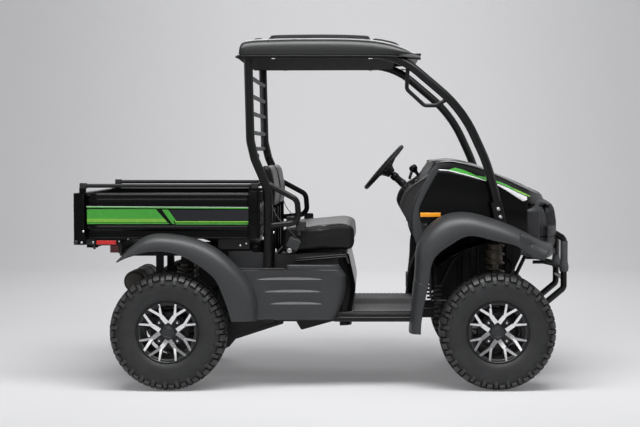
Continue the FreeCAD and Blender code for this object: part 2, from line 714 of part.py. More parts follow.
SEAT_BASE = [
    ("post_x + 25", "floor_top"),
    ("post_x + 479", "floor_top"),
    ("post_x + 489", "floor_top + 90"),
    ("post_x + 498", "floor_top + 168"),
    ("post_x + 467", "seat_base_height"),
    ("post_x + 25", "seat_base_height"),
]
base = side_plate("seat_base_outside", SEAT_BASE, "-seat_reach", "seat_reach")
hollow = box("seat_base_inside", ("post_x + 33", "post_x + 459"), ("8 - seat_reach", "seat_reach - 8"),
             ("floor_top - 1", "seat_base_height - 8"))
seat_box = doc.addObject("Part::Cut", "seat_base_cut")
seat_box.Base = base
seat_box.Tool = hollow
back_posts = [
    box("seat_back_post_%d" % index, ("post_x + 9", "post_x + 25"), (low, low + " + 40"),
        ("seat_base_height - 60", "seat_base_height + 241"))
    for index, low in enumerate(("130", "360"))
]
seat_base = doc.addObject("Part::MultiFuse", "seat_base_whole")
seat_base.Shapes = [seat_box] + back_posts + [mirrored(piece) for piece in back_posts]
node("seat_base", seat_base)

CUSHION = [(63, 0), (459, 20), (467, 60), (461, 140), (440, 155), (388, 158), (208, 139), (63, 129)]
node("seat_cushion", side_plate("cushion_body", from_anchor("post_x", "seat_base_height + rest_gap", CUSHION),
                                "-seat_reach", "seat_reach"))
BACK = [(-31, 241), (27, 241), (31, 322), (31, 348), (11, 466), (-4, 489), (-30, 489), (-56, 476)]
pair("seat_backs", [side_plate("seat_back", from_anchor("post_x", "seat_base_height + rest_gap", BACK),
                               "30", "seat_reach - 20")])

# Dash: a middle that stands back from the two cheeks.
DASH_CHEEK = [(-408, 344), (-512, 260), (-533, 223), (-537, 181), (-528, 105), (-482, 51), (-467, 0),
              (-260, 0), (-260, 380), (-330, 380)]
DASH_MIDDLE = [(-360, 378), (-400, 268), (-430, 178), (-430, 98), (-400, 18), (-342, 0), (-260, 0),
               (-240, 385)]
cheek = side_plate("dash_cheek", from_anchor("front_axle", "dash_bottom", DASH_CHEEK),
                   "cheek_inner", "half_cowl")
middle = side_plate("dash_middle", from_anchor("front_axle", "dash_bottom", DASH_MIDDLE),
                    "-cheek_inner", "cheek_inner")
doc.recompute()

# Steering wheel, with the driver on the left. The column runs forwards and down.
WHEEL_CENTRE = Vector(FRONT - 612, 300, DASH_Z + 338)
COLUMN = Vector(0.754, 0, -0.657).normalize()
SHAFT_R = 9


def on_column(distance):
    return WHEEL_CENTRE + COLUMN * distance


COLUMN_R = 22
COLUMN_END = 260
column = rod(on_column(72), on_column(COLUMN_END), COLUMN_R).fuse(rod(on_column(25), on_column(80), SHAFT_R))
shaped("steering_column", column)
dash = middle.Shape.fuse([cheek.Shape, cheek.Shape.mirror(Vector(0, 0, 0), Vector(0, 1, 0))])
column_room = rod(on_column(60), on_column(COLUMN_END), COLUMN_R + SEAT_GAP)
shaped("dash_panel", dash.removeSplitter().cut(column_room))

GRIP_R = number("wheel_grip / 2")
RING_R = number("wheel_ring / 2") - GRIP_R
ring = Part.makeTorus(RING_R, GRIP_R, WHEEL_CENTRE, COLUMN)
hub = rod(on_column(10), on_column(60), 40)
wheel_down = Vector(0, 1, 0).cross(COLUMN)
steering_wheel = ring.fuse(hub)
for degrees in (0, 90, 180):
    turn = math.radians(degrees)
    outwards = Vector(0, 1, 0) * math.cos(turn) + wheel_down * math.sin(turn)
    steering_wheel = steering_wheel.fuse(rod(on_column(22), WHEEL_CENTRE + outwards * RING_R, 9))
steering_wheel = steering_wheel.cut(rod(on_column(15), on_column(70), SHAFT_R + GAP))
shaped("steering_wheel", steering_wheel)

# Gear lever on the dash and two pedals on the toe board.
KNOB_TOP = Vector(FRONT - 461, -150, DASH_Z + 355)
LEVER_FOOT = Vector(FRONT - 384, -150, DASH_Z + 248)
lever_down = (LEVER_FOOT - KNOB_TOP).normalize()
knob = rod(KNOB_TOP, KNOB_TOP + lever_down * 46, 20)
knob = knob.makeFillet(9, [edge for edge in knob.Edges if isinstance(edge.Curve, Part.Circle)])
lever = rod(KNOB_TOP + lever_down * 20, LEVER_FOOT, 7).cut(middle.Shape).fuse(knob)
TOE_X = number("toe_x")
FLOOR_TOP = number("floor_top")
pedals = []
for low, high in ((200, 260), (300, 370)):
    pad = block((TOE_X - 52, TOE_X - 40), (low, high), (FLOOR_TOP + 62, FLOOR_TOP + 152))
    stalk = block((TOE_X - 40, TOE_X + 14), ((low + high) / 2 - 8, (low + high) / 2 + 8),
                  (FLOOR_TOP + 92, FLOOR_TOP + 122))
    pedals.append(pad.fuse(stalk).cut(toe_board.Shape))
shaped("driver_controls", Part.makeCompound([lever] + pedals))

# ---------------------------------------------------------------- nose
COWL_SIDE = [(-410, 0), (-437, 107), (-330, 328), (-226, 373), (-226, 90), (-300, 90)]
pair("cowl_sides", [side_plate("cowl_side", from_anchor("front_axle", "dash_bottom", COWL_SIDE),
                               "half_cowl", "half_cowl + 8")])

# Hood. Columns: x from the front axle, how far its sides draw in from the cowl's width,
# side's bottom, shoulder and crown heights.
HOOD = [
    (-226, 0, 975, 1190, 1263),
    (-80, 2, 975, 1150, 1225),
    (90, 30, 925, 1095, 1145),
    (200, 80, 860, 1045, 1097),
    (252, 130, 825, 1000, 1050),
    (312, 200, 815, 935, 995),
    (350, 260, 815, 890, 945),
]
HALF_COWL = number("half_cowl")
HOOD_WALL = 8
hood = loft([
    shell_section(FRONT + x, [(HALF_COWL - draw, bottom), (HALF_COWL - draw - 10, shoulder),
                              ((HALF_COWL - draw) * 0.6, crown - 12), (0, crown)], HOOD_WALL)
    for x, draw, bottom, shoulder, crown in HOOD
])
lamp = block((FRONT + 215, FRONT + 300), (HALF_COWL - 230, HALF_COWL - 105), (890, 995))
shaped("headlamps", both_sides(lamp))
shaped("hood", hood.cut([lamp, lamp.mirror(Vector(0, 0, 0), Vector(0, 1, 0))]))

# Front guard: two upright tubes, their top plate and braces back to the main rails.
GUARD_Y = number("rail_inner") - 25
GUARD_R = 18
GUARD_X = number("front_axle + front_overhang") - GUARD_R
GUARD = [(-52, SILL + 428), (0, SILL + 398), (0, SILL + 113), (-102, SILL + 28)]
guard_points = [Vector(GUARD_X + x, GUARD_Y, z) for x, z in GUARD]
guard_tube = bent_tube(guard_points, 34, GUARD_R)
guard_foot = block((FRONT + 290, GUARD_X - 94), (GUARD_Y - 18, GUARD_Y + 18), (SILL, SILL + 48))
guard_tube = guard_tube.fuse(guard_foot)
guard_bar = rod(Vector(GUARD_X, -GUARD_Y, SILL + 168), Vector(GUARD_X, GUARD_Y, SILL + 168), 12)
front_guard = guard_tube.fuse([guard_tube.mirror(Vector(0, 0, 0), Vector(0, 1, 0)), guard_bar])
shaped("front_guard", front_guard)

# ---------------------------------------------------------------- cargo bed
BED_FRONT = REAR + 480
BED_REAR = REAR - 496
BED_TAIL = number("rear_axle - rear_overhang")
HALF = number("half_body")
WALL = number("bed_wall")
UNDER = number("bed_under")
FLOOR = number("bed_floor_height")
TOP = number("bed_top")
SKIRT = UNDER - 11
RAIL_R = 11
EARS = (number("ear_inner"), number("ear_outer"))
bed = block((BED_REAR, BED_FRONT), (-HALF, HALF), (UNDER, FLOOR))
bed = bed.fuse(block((BED_FRONT - WALL, BED_FRONT), (-HALF, HALF), (SKIRT, TOP)))
GATE = Vector(number("gate_x"), 0, number("gate_z"))
GATE_PIN_R = number("gate_pin / 2")
for side in (1, -1):
    def span(near, far):
        return tuple(sorted((side * near, side * far)))
    bed = bed.fuse([
        block((BED_REAR, BED_FRONT), span(HALF - WALL, HALF), (SKIRT, TOP)),
        block((BED_TAIL, REAR - 457), span(HALF - 24, HALF), (SKIRT - 34, TOP)),
        block((REAR - 491, REAR - 457), span(HALF - 24, HALF), (TOP, TOP + 30)),
        block((REAR + 438, REAR + 499), span(HALF - 24, HALF), (SKIRT, TOP + 30)),
        block((REAR - 405, REAR - 284), span(HALF - 8, HALF), (SKIRT - 37, SKIRT)),
        block((HINGE.x - 30, HINGE.x + 30), span(*EARS), (HINGE.z - 25, UNDER)),
        block((GATE.x - 8, BED_REAR), span(285, 295), (GATE.z - 8, GATE.z + 8)),
        block((GATE.x - 8, BED_REAR), span(365, 375), (GATE.z - 8, GATE.z + 8)),
        rod(across(GATE, side * 285), across(GATE, side * 375), GATE_PIN_R),
    ])
bed = bed.cut(rod(across(HINGE, -EARS[1] - 1), across(HINGE, EARS[1] + 1), PIN_R + GAP))
shaped("cargo_bed", bed.removeSplitter())

rail_z = TOP + 30 + RAIL_R
RAIL_Y = HALF - 12
shaped("bed_rails", bent_tube([
    Vector(REAR - 470, RAIL_Y, rail_z),
    Vector(REAR + 470, RAIL_Y, rail_z),
    Vector(REAR + 470, -RAIL_Y, rail_z),
    Vector(REAR - 470, -RAIL_Y, rail_z),
], 40, RAIL_R))

gate = block((GATE.x - 8, GATE.x + 8), (30 - HALF, HALF - 30), (GATE.z + 16, TOP - 6))
for side in (1, -1):
    low, high = sorted((side * 303, side * 357))
    gate = gate.fuse([
        block((GATE.x - 8, GATE.x + 8), (low, high), (GATE.z, GATE.z + 16)),
        rod(across(GATE, low), across(GATE, high), 10),
    ])
gate = gate.cut(rod(across(GATE, -400), across(GATE, 400), GATE_PIN_R + GAP))
shaped("tailgate", gate)

pair("tail_lamps", [box("tail_lamp", ("rear_axle - 339", "rear_axle - 290"),
                        ("half_body - 150", "half_body - 90"), ("bed_under - 94", "bed_under - 44"))])

# ---------------------------------------------------------------- check and write
doc.recompute()
for item in doc.Objects:
    if "Invalid" in item.State or "Error" in item.State:
        raise RuntimeError("%s failed: %s" % (item.Label, item.State))
os.makedirs("parts", exist_ok=True)
for piece in NODES:
    if piece.Shape.isNull() or not piece.Shape.isValid():
        raise RuntimeError(piece.Label + ": the shape isn't valid")
    piece.Shape.exportStep("parts/%s.step" % piece.Label)
    print("%-20s %d solid(s) %9.1f cm3" % (piece.Label, len(piece.Shape.Solids), piece.Shape.Volume / 1000))
whole = Part.makeCompound([piece.Shape for piece in NODES]).BoundBox
print("nodes", len(NODES), "x", round(whole.XMin), round(whole.XMax),
      "y", round(whole.YMin), round(whole.YMax),
      "z", round(whole.ZMin), round(whole.ZMax))
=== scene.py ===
# %% [markdown]
# # A side by side utility vehicle
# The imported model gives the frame: every body, joint and outline is already in its
# place, in metres, with +X forwards, +Y to the driver's left and +Z up. This lesson
# dresses that frame. Each step says what the real piece is and how it could be made.

# %% Load the frame
import json
import math
from collections import namedtuple

import bmesh
import bpy
import numpy as np
from mathutils import Matrix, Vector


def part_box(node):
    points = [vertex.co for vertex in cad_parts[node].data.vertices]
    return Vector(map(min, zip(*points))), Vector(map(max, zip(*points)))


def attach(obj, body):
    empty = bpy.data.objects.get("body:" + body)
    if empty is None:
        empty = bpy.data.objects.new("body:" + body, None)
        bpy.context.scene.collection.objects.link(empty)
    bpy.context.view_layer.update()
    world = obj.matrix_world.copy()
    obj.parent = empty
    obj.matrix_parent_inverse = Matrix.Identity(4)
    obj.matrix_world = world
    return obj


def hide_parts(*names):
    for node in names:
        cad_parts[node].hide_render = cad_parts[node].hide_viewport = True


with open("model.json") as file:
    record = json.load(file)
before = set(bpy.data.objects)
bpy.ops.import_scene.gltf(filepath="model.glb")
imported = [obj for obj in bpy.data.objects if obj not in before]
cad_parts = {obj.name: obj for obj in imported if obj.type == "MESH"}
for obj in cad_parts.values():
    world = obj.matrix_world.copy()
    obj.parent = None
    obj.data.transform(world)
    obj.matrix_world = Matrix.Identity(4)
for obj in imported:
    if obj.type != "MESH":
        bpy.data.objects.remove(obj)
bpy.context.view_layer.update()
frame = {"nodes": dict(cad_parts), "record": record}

# %% [markdown]
# ## Anchors
# A person who builds bodywork measures from the axles, the floor and the posts. The
# same anchors are read here from the frame's own boxes, so that a changed frame
# carries every piece with it. `mm` lets a size be written in millimetres, as on a
# workshop drawing.

# %% Anchors
def numbers(values):
    return np.array(values, float)


def mm(*values):
    """The values, given in millimetres, in metres."""
    return numbers(values) / 1000.0


def low(node, axis):
    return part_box(node)[0]["xyz".index(axis)]


def high(node, axis):
    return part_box(node)[1]["xyz".index(axis)]


def middle(node, axis):
    return (low(node, axis) + high(node, axis)) / 2


REAR = middle("tyre_rear_right", "x")
FRONT = middle("tyre_front_right", "x")
WHEEL_Z = middle("tyre_rear_right", "z")
TYRE_R = high("tyre_rear_right", "z") - WHEEL_Z
HALF_TRACK = -middle("tyre_rear_right", "y")
SILL = high("frame_rails", "z")
FLOOR_TOP = high("floor_pan", "z")
DASH_Z = low("dash_panel", "z")
SEAT_Z = high("seat_base", "z") - 0.241
BED_TOP = high("cargo_bed", "z") - 0.03
BED_FLOOR = BED_TOP - 0.228
HALF_BODY = high("cargo_bed", "y")
HALF_COWL = high("hood", "y")
HOOP_Y = middle("front_posts", "y") + (high("front_posts", "y") - low("front_posts",
    "y")) / 2 - 0.024
POST_X = low("seat_cushion", "x") - 0.063
RAIL_Z = middle("roof_bars", "z")
print("rear axle", round(REAR, 4), "front axle", round(FRONT, 4), "post", round(POST_X, 4), "hoops",
    round(HOOP_Y, 4), "seat", round(SEAT_Z, 4), "bed top", round(BED_TOP, 4))

# %% [markdown]
# ## Shapes as arrays
# Nearly all bodywork is a surface that follows two directions: along and around. A
# surface can be sculpted, but a formula keeps it smooth and says exactly what it is.
# So a shape here is a set of numpy arrays: its points, the corners of its faces, how
# many corners each face has, and which finish each face wears.

# %% Shape arrays
Shape = namedtuple("Shape", "points loops sizes skins")


def grid(points, wrap_u=False, wrap_v=False, cap=False, skin=0):
    """Faces between neighbouring points of points[u, v]. wrap joins the last row or
    column to the first one. cap closes the two ends of a tube."""
    nu, nv = points.shape[:2]
    u, v = np.meshgrid(np.arange(nu if wrap_u else nu - 1), np.arange(nv if wrap_v else nv - 1),
        indexing="ij")
    next_u, next_v = (u + 1) % nu, (v + 1) % nv
    loops = columns(u * nv + v, next_u * nv + v, next_u * nv + next_v, u * nv + next_v).ravel()
    sizes = np.full(len(loops) // 4, 4)
    if cap:
        ring = np.arange(nv)
        loops = np.concatenate([loops, ring, (nu - 1) * nv + ring[::-1]])
        sizes = np.concatenate([sizes, [nv, nv]])
    return Shape(points.reshape(-1, 3), loops, sizes, np.full(len(sizes), skin))


def columns(*parts):
    """Arrays side by side, stretched to one shape: x, y and z become points."""
    return np.stack(np.broadcast_arrays(*parts), -1)


def sheet(x, y, z, **joins):
    return grid(columns(x, y, z), **joins)


def length_of(arrow):
    return np.linalg.norm(arrow)


def joined(shapes):
    """Several shapes as one."""
    starts = np.cumsum([0] + [len(shape.points) for shape in shapes[:-1]])
    return Shape(np.concatenate([shape.points for shape in shapes]),
        np.concatenate([shape.loops + start for shape, start in zip(shapes, starts)]),
        np.concatenate([shape.sizes for shape in shapes]),
        np.concatenate([shape.skins for shape in shapes]))


def other_side(shape):
    """The shape's mirror image across the vehicle: y changes sign, and each face's
    corners are taken in reverse, so that it still faces outwards."""
    ends = np.cumsum(shape.sizes)
    owner = np.repeat(np.arange(len(shape.sizes)), shape.sizes)
    reverse = (ends - shape.sizes)[owner] + ends[owner] - 1 - np.arange(len(shape.loops))
    return shape._replace(points=shape.points * [1, -1, 1], loops=shape.loops[reverse])


def both_sides(shape):
    return joined([shape, other_side(shape)])


def skinned(shape, skin):
    return shape._replace(skins=np.full(len(shape.sizes), skin))


def axes_of(direction, hint=(0, 0, 1)):
    """Two unit directions square to the given one and to each other: side and up."""
    along = numbers(direction) / length_of(direction)
    hint = numbers(hint)
    if abs(along @ hint) > 0.95 * length_of(hint):
        hint = np.array((1.0, 0, 0)) if abs(along[0]) < 0.9 else np.array((0, 1.0, 0))
    side = np.cross(hint, along)
    side /= length_of(side)
    return side, np.cross(along, side)


def placed(shape, centre, direction):
    """A shape drawn round its own z axis, stood at centre with z along direction."""
    side, up = axes_of(direction)
    along = numbers(direction) / length_of(direction)
    return shape._replace(points=shape.points @ np.array([side, up, along]) + numbers(centre))


def spun(shape, centre, axis, angle):
    """The shape turned about an axis through centre: the part of each point along the
    axis stays, and the rest turns by cos and sin."""
    axis = numbers(axis) / length_of(axis)
    arm = shape.points - centre
    along = np.outer(arm @ axis, axis)
    turned = along + (arm - along) * math.cos(angle) + np.cross(axis, arm) * math.sin(angle)
    return shape._replace(points=turned + centre)


# %% Profiles and paths
def circle(radius, count=16):
    """Points at equal angles: radius·cos, radius·sin."""
    turn = np.arange(count) * 2 * np.pi / count
    return columns(radius * np.cos(turn), radius * np.sin(turn))


def oblong(width, height, corner, count=4):
    """A rounded rectangle: quarter circles at four corners."""
    turn = np.linspace(0, np.pi / 2, count + 1)
    arc = columns(np.cos(turn), np.sin(turn)) * corner
    quarter = []
    for step, (sx, sy) in enumerate(((1, 1), (-1, 1), (-1, -1), (1, -1))):
        spin = step * np.pi / 2
        turned = arc @ np.array([[np.cos(spin), np.sin(spin)], [-np.sin(spin), np.cos(spin)]])
        quarter.append(turned + [sx * (width / 2 - corner), sy * (height / 2 - corner)])
    return np.concatenate(quarter)


def rounded(points, bend, count=8, closed=False):
    """Straight runs with an arc of one bend radius at each corner. The arc is traced
    as centre + bend·(cos, sin) between the two points where it touches the runs."""
    points = numbers(points)
    bends = np.broadcast_to(numbers(bend), (len(points),))
    before, after = np.roll(points, 1, 0), np.roll(points, -1, 0)
    inner = range(len(points)) if closed else range(1, len(points) - 1)
    path = [] if closed else [points[:1]]
    for index in inner:
        back = before[index] - points[index]
        ahead = after[index] - points[index]
        back_room, ahead_room = length_of(back), length_of(ahead)
        back, ahead = back / back_room, ahead / ahead_room
        half = math.acos(np.clip(back @ ahead, -1, 1)) / 2
        if half > 1.56 or bends[index] == 0:
            path.append(points[index:index + 1])
            continue
        reach = min(bends[index] / math.tan(half), 0.49 * back_room, 0.49 * ahead_room)
        radius = reach * math.tan(half)
        towards = (back + ahead) / length_of(back + ahead)
        centre = points[index] + towards * radius / math.sin(half)
        first, last = points[index] + back * reach - centre, points[index] + ahead * reach - centre
        sweep_angle = math.pi - 2 * half
        t = np.linspace(0, 1, count + 1)[:, None]
        path.append(centre + (first * np.sin((1 - t) * sweep_angle) + last
            * np.sin(t * sweep_angle)) / math.sin(sweep_angle))
    if not closed:
        path.append(points[-1:])
    return np.concatenate(path)


def smooth_curve(points, count):
    """A cubic (Catmull-Rom) curve through the points: between two of them it is the
    cubic that has their neighbours' slopes."""
    points = numbers(points)
    knots = np.concatenate([2 * points[:1] - points[1:2], points, 2 * points[-1:] - points[-2:-1]])
    spans = len(knots) - 3
    t = np.linspace(0, spans, count)
    span = np.minimum(t.astype(int), spans - 1)
    t = (t - span)[:, None]
    a, b, c, d = knots[span], knots[span + 1], knots[span + 2], knots[span + 3]
    return 0.5 * (2 * b + (c - a) * t + (2 * a - 5 * b + 4 * c - d) * t ** 2
        + (3 * b - a - 3 * c + d) * t ** 3)


def evenly(points, count):
    """Points at equal distances along a path."""
    lengths = np.concatenate([[0], np.cumsum(np.linalg.norm(np.diff(points, axis=0), axis=1))])
    places = np.linspace(0, lengths[-1], count)
    return np.stack([np.interp(places, lengths, column) for column in points.T], -1)


# %% Surfaces from profiles
def sweep(path, section, side, closed=False, size=None):
    """A profile carried along a path. At each place the profile stands square to the
    path: point = path + a·side + b·(path's direction x side)."""
    path, section = numbers(path), numbers(section)
    ahead = np.roll(path, -1, 0) - np.roll(path, 1, 0) if closed else np.gradient(path, axis=0)
    ahead /= np.linalg.norm(ahead, axis=1)[:, None]
    side = np.broadcast_to(numbers(side), path.shape)
    side = side - (side * ahead).sum(1)[:, None] * ahead
    side = side / np.linalg.norm(side, axis=1)[:, None]
    up = np.cross(ahead, side)
    size = np.ones(len(path)) if size is None else numbers(size)
    points = (path[:, None] + section[None, :, :1] * (side * size[:, None])[:, None] + section[None,
        :, 1:] * (up * size[:, None])[:, None])
    return grid(points, wrap_u=closed, wrap_v=True, cap=not closed)


def smooth_step(value, start, end):
    """0 below start, 1 above end, and 3t² - 2t³ between."""
    t = np.clip((value - start) / (end - start), 0, 1)
    return t * t * (3 - 2 * t)


def tube(points, radius, side, bend, count=14):
    """A round tube along straight runs with bends."""
    return sweep(rounded(points, bend), circle(radius, count), side)


def revolve(profile, centre, axis, count, skin=0):
    """A profile of (distance along the axis, radius) turned once round the axis:
    point = centre + along·axis + radius·(cos·side + sin·up)."""
    profile = numbers(profile)
    side, up = axes_of(axis)
    axis = numbers(axis) / length_of(axis)
    turn = np.arange(count) * 2 * np.pi / count
    ring = np.cos(turn)[:, None] * side + np.sin(turn)[:, None] * up
    points = (numbers(centre) + profile[None, :, :1] * axis + profile[None, :, 1:] * ring[:, None])
    return grid(points, wrap_u=True, skin=skin)


def rod(start, end, radius, count=16, edge=0.0):
    """A closed round bar between two points, its ends chamfered by edge."""
    start, end = numbers(start), numbers(end)
    length = length_of(end - start)
    profile = [(0, 0), (0, radius - edge), (edge, radius), (length - edge, radius),
        (length, radius - edge), (length, 0)]
    return revolve(profile, start, end - start, count)


def soft_box(low_corner, high_corner, radius, steps=3):
    """A box with round edges: a point of the box is drawn to the nearest point of a
    smaller box, and pushed out from there by the radius."""
    low_corner, high_corner = numbers(low_corner), numbers(high_corner)
    radius = min(radius, 0.499 * (high_corner - low_corner).min())
    bend = radius * (1 - np.cos(np.linspace(0, np.pi / 2, steps + 1)))
    marks = [np.concatenate([a + bend, (b - bend)[::-1]]) for a, b in zip(low_corner, high_corner)]
    shapes = []
    for axis in range(3):
        first, second = (axis + 1) % 3, (axis + 2) % 3
        across, up = np.meshgrid(marks[first], marks[second], indexing="ij")
        for face in (low_corner[axis], high_corner[axis]):
            points = np.empty(across.shape + (3,))
            points[..., axis], points[..., first], points[..., second] = face, across, up
            core = np.clip(points, low_corner + radius, high_corner - radius)
            out = points - core
            points = core + radius * out / np.linalg.norm(out, axis=-1, keepdims=True)
            shapes.append(grid(points if face > low_corner[axis] else points[::-1]))
    return joined(shapes)


def plate(outline, near, far):
    """A flat plate: a closed outline in x and z at two places across, and its edge."""
    points = np.empty((2, len(outline), 3))
    points[..., 0], points[..., 2] = numbers(outline).T
    points[0, :, 1], points[1, :, 1] = near, far
    return grid(points, wrap_v=True, cap=True)


print("a rounded box of", soft_box(mm(0, 0, 0), mm(10, 10, 10), 0.002).points.shape[0], "points")

# %% [markdown]
# ## From arrays to objects
# `make` puts a shape into a mesh in one go, merges the points that coincide, and
# turns every closed face outwards. Edges steeper than an angle stay crisp and the
# rest shade smoothly, which is how a moulded or pressed part looks. A thin sheet
# gets its real wall from Solidify, and a machined plate its broken edge from Bevel.

# %% Making a piece
def make(name, shape, finishes, body="chassis", crisp=40, wall=0.0, facing=None, bevel=0.0,
        offset=-1.0, replaces=(), slot=None):
    """One piece. wall is a sheet's thickness, laid inwards; facing is a direction that
    most of an open sheet's faces look towards."""
    mesh = bpy.data.meshes.new(name)
    mesh.vertices.add(len(shape.points))
    mesh.vertices.foreach_set("co", shape.points.astype(np.float32).ravel())
    mesh.loops.add(len(shape.loops))
    mesh.loops.foreach_set("vertex_index", shape.loops.astype(np.int32))
    mesh.polygons.add(len(shape.sizes))
    mesh.polygons.foreach_set("loop_start", (np.cumsum(shape.sizes) - shape.sizes).astype(np.int32))
    mesh.polygons.foreach_set("material_index", shape.skins.astype(np.int32))
    mesh.update(calc_edges=True)
    mesh.validate()
    work = bmesh.new()
    work.from_mesh(mesh)
    bmesh.ops.remove_doubles(work, verts=work.verts, dist=1e-5)
    bmesh.ops.dissolve_degenerate(work, edges=work.edges, dist=1e-6)
    bmesh.ops.recalc_face_normals(work, faces=work.faces)
    if facing is not None:
        facing = numbers(facing)
        total = sum(face.normal.dot(facing) * face.calc_area() for face in work.faces)
        if total < 0:
            bmesh.ops.reverse_faces(work, faces=work.faces)
    work.to_mesh(mesh)
    work.free()
    for material in (finishes if isinstance(finishes, (list, tuple)) else [finishes]):
        mesh.materials.append(material)
    mesh.shade_smooth()
    mesh.set_sharp_from_angle(angle=math.radians(crisp))
    piece = bpy.data.objects.new(name, mesh)
    bpy.context.scene.collection.objects.link(piece)
    if wall:
        solid = piece.modifiers.new("wall", "SOLIDIFY")
        solid.thickness, solid.offset = wall, offset
    if bevel:
        edge = piece.modifiers.new("broken_edges", "BEVEL")
        edge.width, edge.segments, edge.limit_method = bevel, 2, "ANGLE"
        edge.angle_limit, edge.harden_normals = math.radians(40), True
    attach(piece, body)
    if replaces:
        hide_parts(*replaces)
    return piece


def make_pair(name, shape, finishes, facing, **rest):
    """The left piece and its mirror image."""
    make(name + "_left", shape, finishes, facing=facing, **rest)
    make(name + "_right", other_side(shape), finishes, facing=facing * numbers((1, -1, 1)), **rest)


def hexagon_bolt(width, tall):
    """A flanged hexagon head that stands on z = 0: a washer with a domed hexagon."""
    washer = revolve([(0, width * 0.62), (tall * 0.22, width * 0.62), (tall * 0.3, width * 0.5)],
        (0, 0, 0), (0, 0, 1), 16)
    head = revolve([(tall * 0.2, width * 0.5), (tall * 0.85, width * 0.5), (tall, width * 0.4),
        (tall, 0)], (0, 0, 0), (0, 0, 1), 6)
    return joined([washer, head])


def cap_bolt(width, tall):
    """A domed head that stands on z = 0: radius·cos against height·sin of one angle."""
    t = np.linspace(0, np.pi / 2, 5)
    profile = columns(tall * np.sin(t), width / 2 * np.cos(t))
    return revolve(profile, (0, 0, 0), (0, 0, 1), 12)


# %% [markdown]
# ## Studio
# A vehicle is shown in front of a pale sweep of paper under one large, soft
# light. The sweep is a floor that curves up into a wall. The light is a wide panel
# above and a little on the near side, so that upper edges carry a broad highlight
# and the shadow falls just behind the wheels. A pale world fills the rest.

# %% Camera
scene = bpy.context.scene
camera_data = bpy.data.cameras.new("camera")
camera_data.sensor_width = 36.0
camera_data.lens = 82.69
camera_data.shift_x = -0.07578
camera = bpy.data.objects.new("camera", camera_data)
camera.location = (0.2365, -8.632, 1.299)
camera.rotation_euler = (math.radians(90 - 2.38), 0, 0)
scene.collection.objects.link(camera)
scene.camera = camera
print("camera stands", round(-camera.location.y, 3), "m to the side, lens", camera_data.lens, "mm")


# %% Node helpers
def node_tree(material):
    """Empties the material's nodes. add makes a node and sets its values by name; link
    joins an output of one node to an input of another."""
    material.use_nodes = True
    tree = material.node_tree
    tree.nodes.clear()

    def add(kind, **values):
        node = tree.nodes.new("ShaderNode" + kind)
        for key, value in values.items():
            if key in node.inputs:
                node.inputs[key].default_value = value
            else:
                setattr(node, key, value)
        return node

    def link(source, output, target, socket):
        tree.links.new(source.outputs[output], target.inputs[socket])
    return add, link


def limits(*values):
    return dict(zip(("From Min", "From Max", "To Min", "To Max"), values))


# %% Sweep of paper
def paper_sweep():
    """A floor, a quarter circle and a wall: a profile carried straight across."""
    turn = np.linspace(0, np.pi / 2, 24)
    bend, far = 3.0, 7.5
    arc = columns(far + bend * np.sin(turn), bend * (1 - np.cos(turn)))
    floor = columns(np.linspace(-60, far, 90)[:-1], np.zeros(89))
    wall = columns(np.full(20, far + bend), np.linspace(bend, 24, 21)[1:])
    profile = np.concatenate([floor, arc, wall])
    across = np.linspace(-60, 60, 90)
    points = np.stack(np.broadcast_arrays(across[:, None], profile[None, :, 0],
        profile[None, :, 1]), -1)
    return grid(points)


paper = bpy.data.materials.new("studio_paper")
add, link = node_tree(paper)
out, shader = add("OutputMaterial"), add("BsdfPrincipled", Roughness=0.9)
coordinates, noise, ramp = add("TexCoord"), add("TexNoise", Scale=0.12, Detail=2.0), add("ValToRGB")
ramp.color_ramp.elements[0].color = (0.6, 0.6, 0.612, 1)
ramp.color_ramp.elements[1].color = (0.68, 0.68, 0.692, 1)
link(coordinates, "Object", noise, "Vector")
link(noise, "Fac", ramp, "Fac")
link(ramp, "Color", shader, "Base Color")
# The paper also emits light for camera and glossy rays: painted light where the lamps leave it dim.
# It is strongest behind the vehicle and far in front of it, weaker on the floor under the vehicle,
# where it lifts the vehicle's shadow, and it is painted darker towards the sides.
place, ramp_depth = add("SeparateXYZ"), add("ValToRGB")
depth = add("MapRange", **limits(-21.0, 9.0))
painted_side_fade = add("MapRange", interpolation_type="SMOOTHSTEP", **limits(0.3, 4.8, 1.0, 0.56))
path, painted_glow, total = add("LightPath"), add("Emission", Color=(0.98, 0.98, 1.0, 1)), add("AddShader")
seen, strength, spread_x, strength_x = (add("Math", operation=kind) for kind in ("MAXIMUM",
    "MULTIPLY", "ABSOLUTE", "MULTIPLY"))
ramp_depth.color_ramp.elements[0].color = (0.42, 0.42, 0.42, 1)
# Strength of the painted light along the depth; the stops at -0.4 and 1.4 lift the vehicle's shadow
# on the floor.
for y, strength_there in ((-13.0, 0.32), (-7.0, 0.0), (-2.0, 0.0), (-0.4, 0.13), (1.4, 0.17),
        (7.0, 0.41)):
    stop = ramp_depth.color_ramp.elements.new((y + 21) / 30)
    stop.color = (strength_there,) * 3 + (1,)
ramp_depth.color_ramp.elements[-1].color = (0.42, 0.42, 0.42, 1)
link(coordinates, "Object", place, "Vector")
link(place, "Y", depth, "Value")
link(place, "X", spread_x, 0)
link(spread_x, "Value", painted_side_fade, "Value")
link(path, "Is Camera Ray", seen, 0)
link(path, "Is Glossy Ray", seen, 1)
link(depth, "Result", ramp_depth, "Fac")
link(ramp_depth, "Color", strength, 0)
link(painted_side_fade, "Result", strength, 1)
link(strength, "Value", strength_x, 0)
link(seen, "Value", strength_x, 1)
link(strength_x, "Value", painted_glow, "Strength")
link(shader, "BSDF", total, 0)
link(painted_glow, "Emission", total, 1)
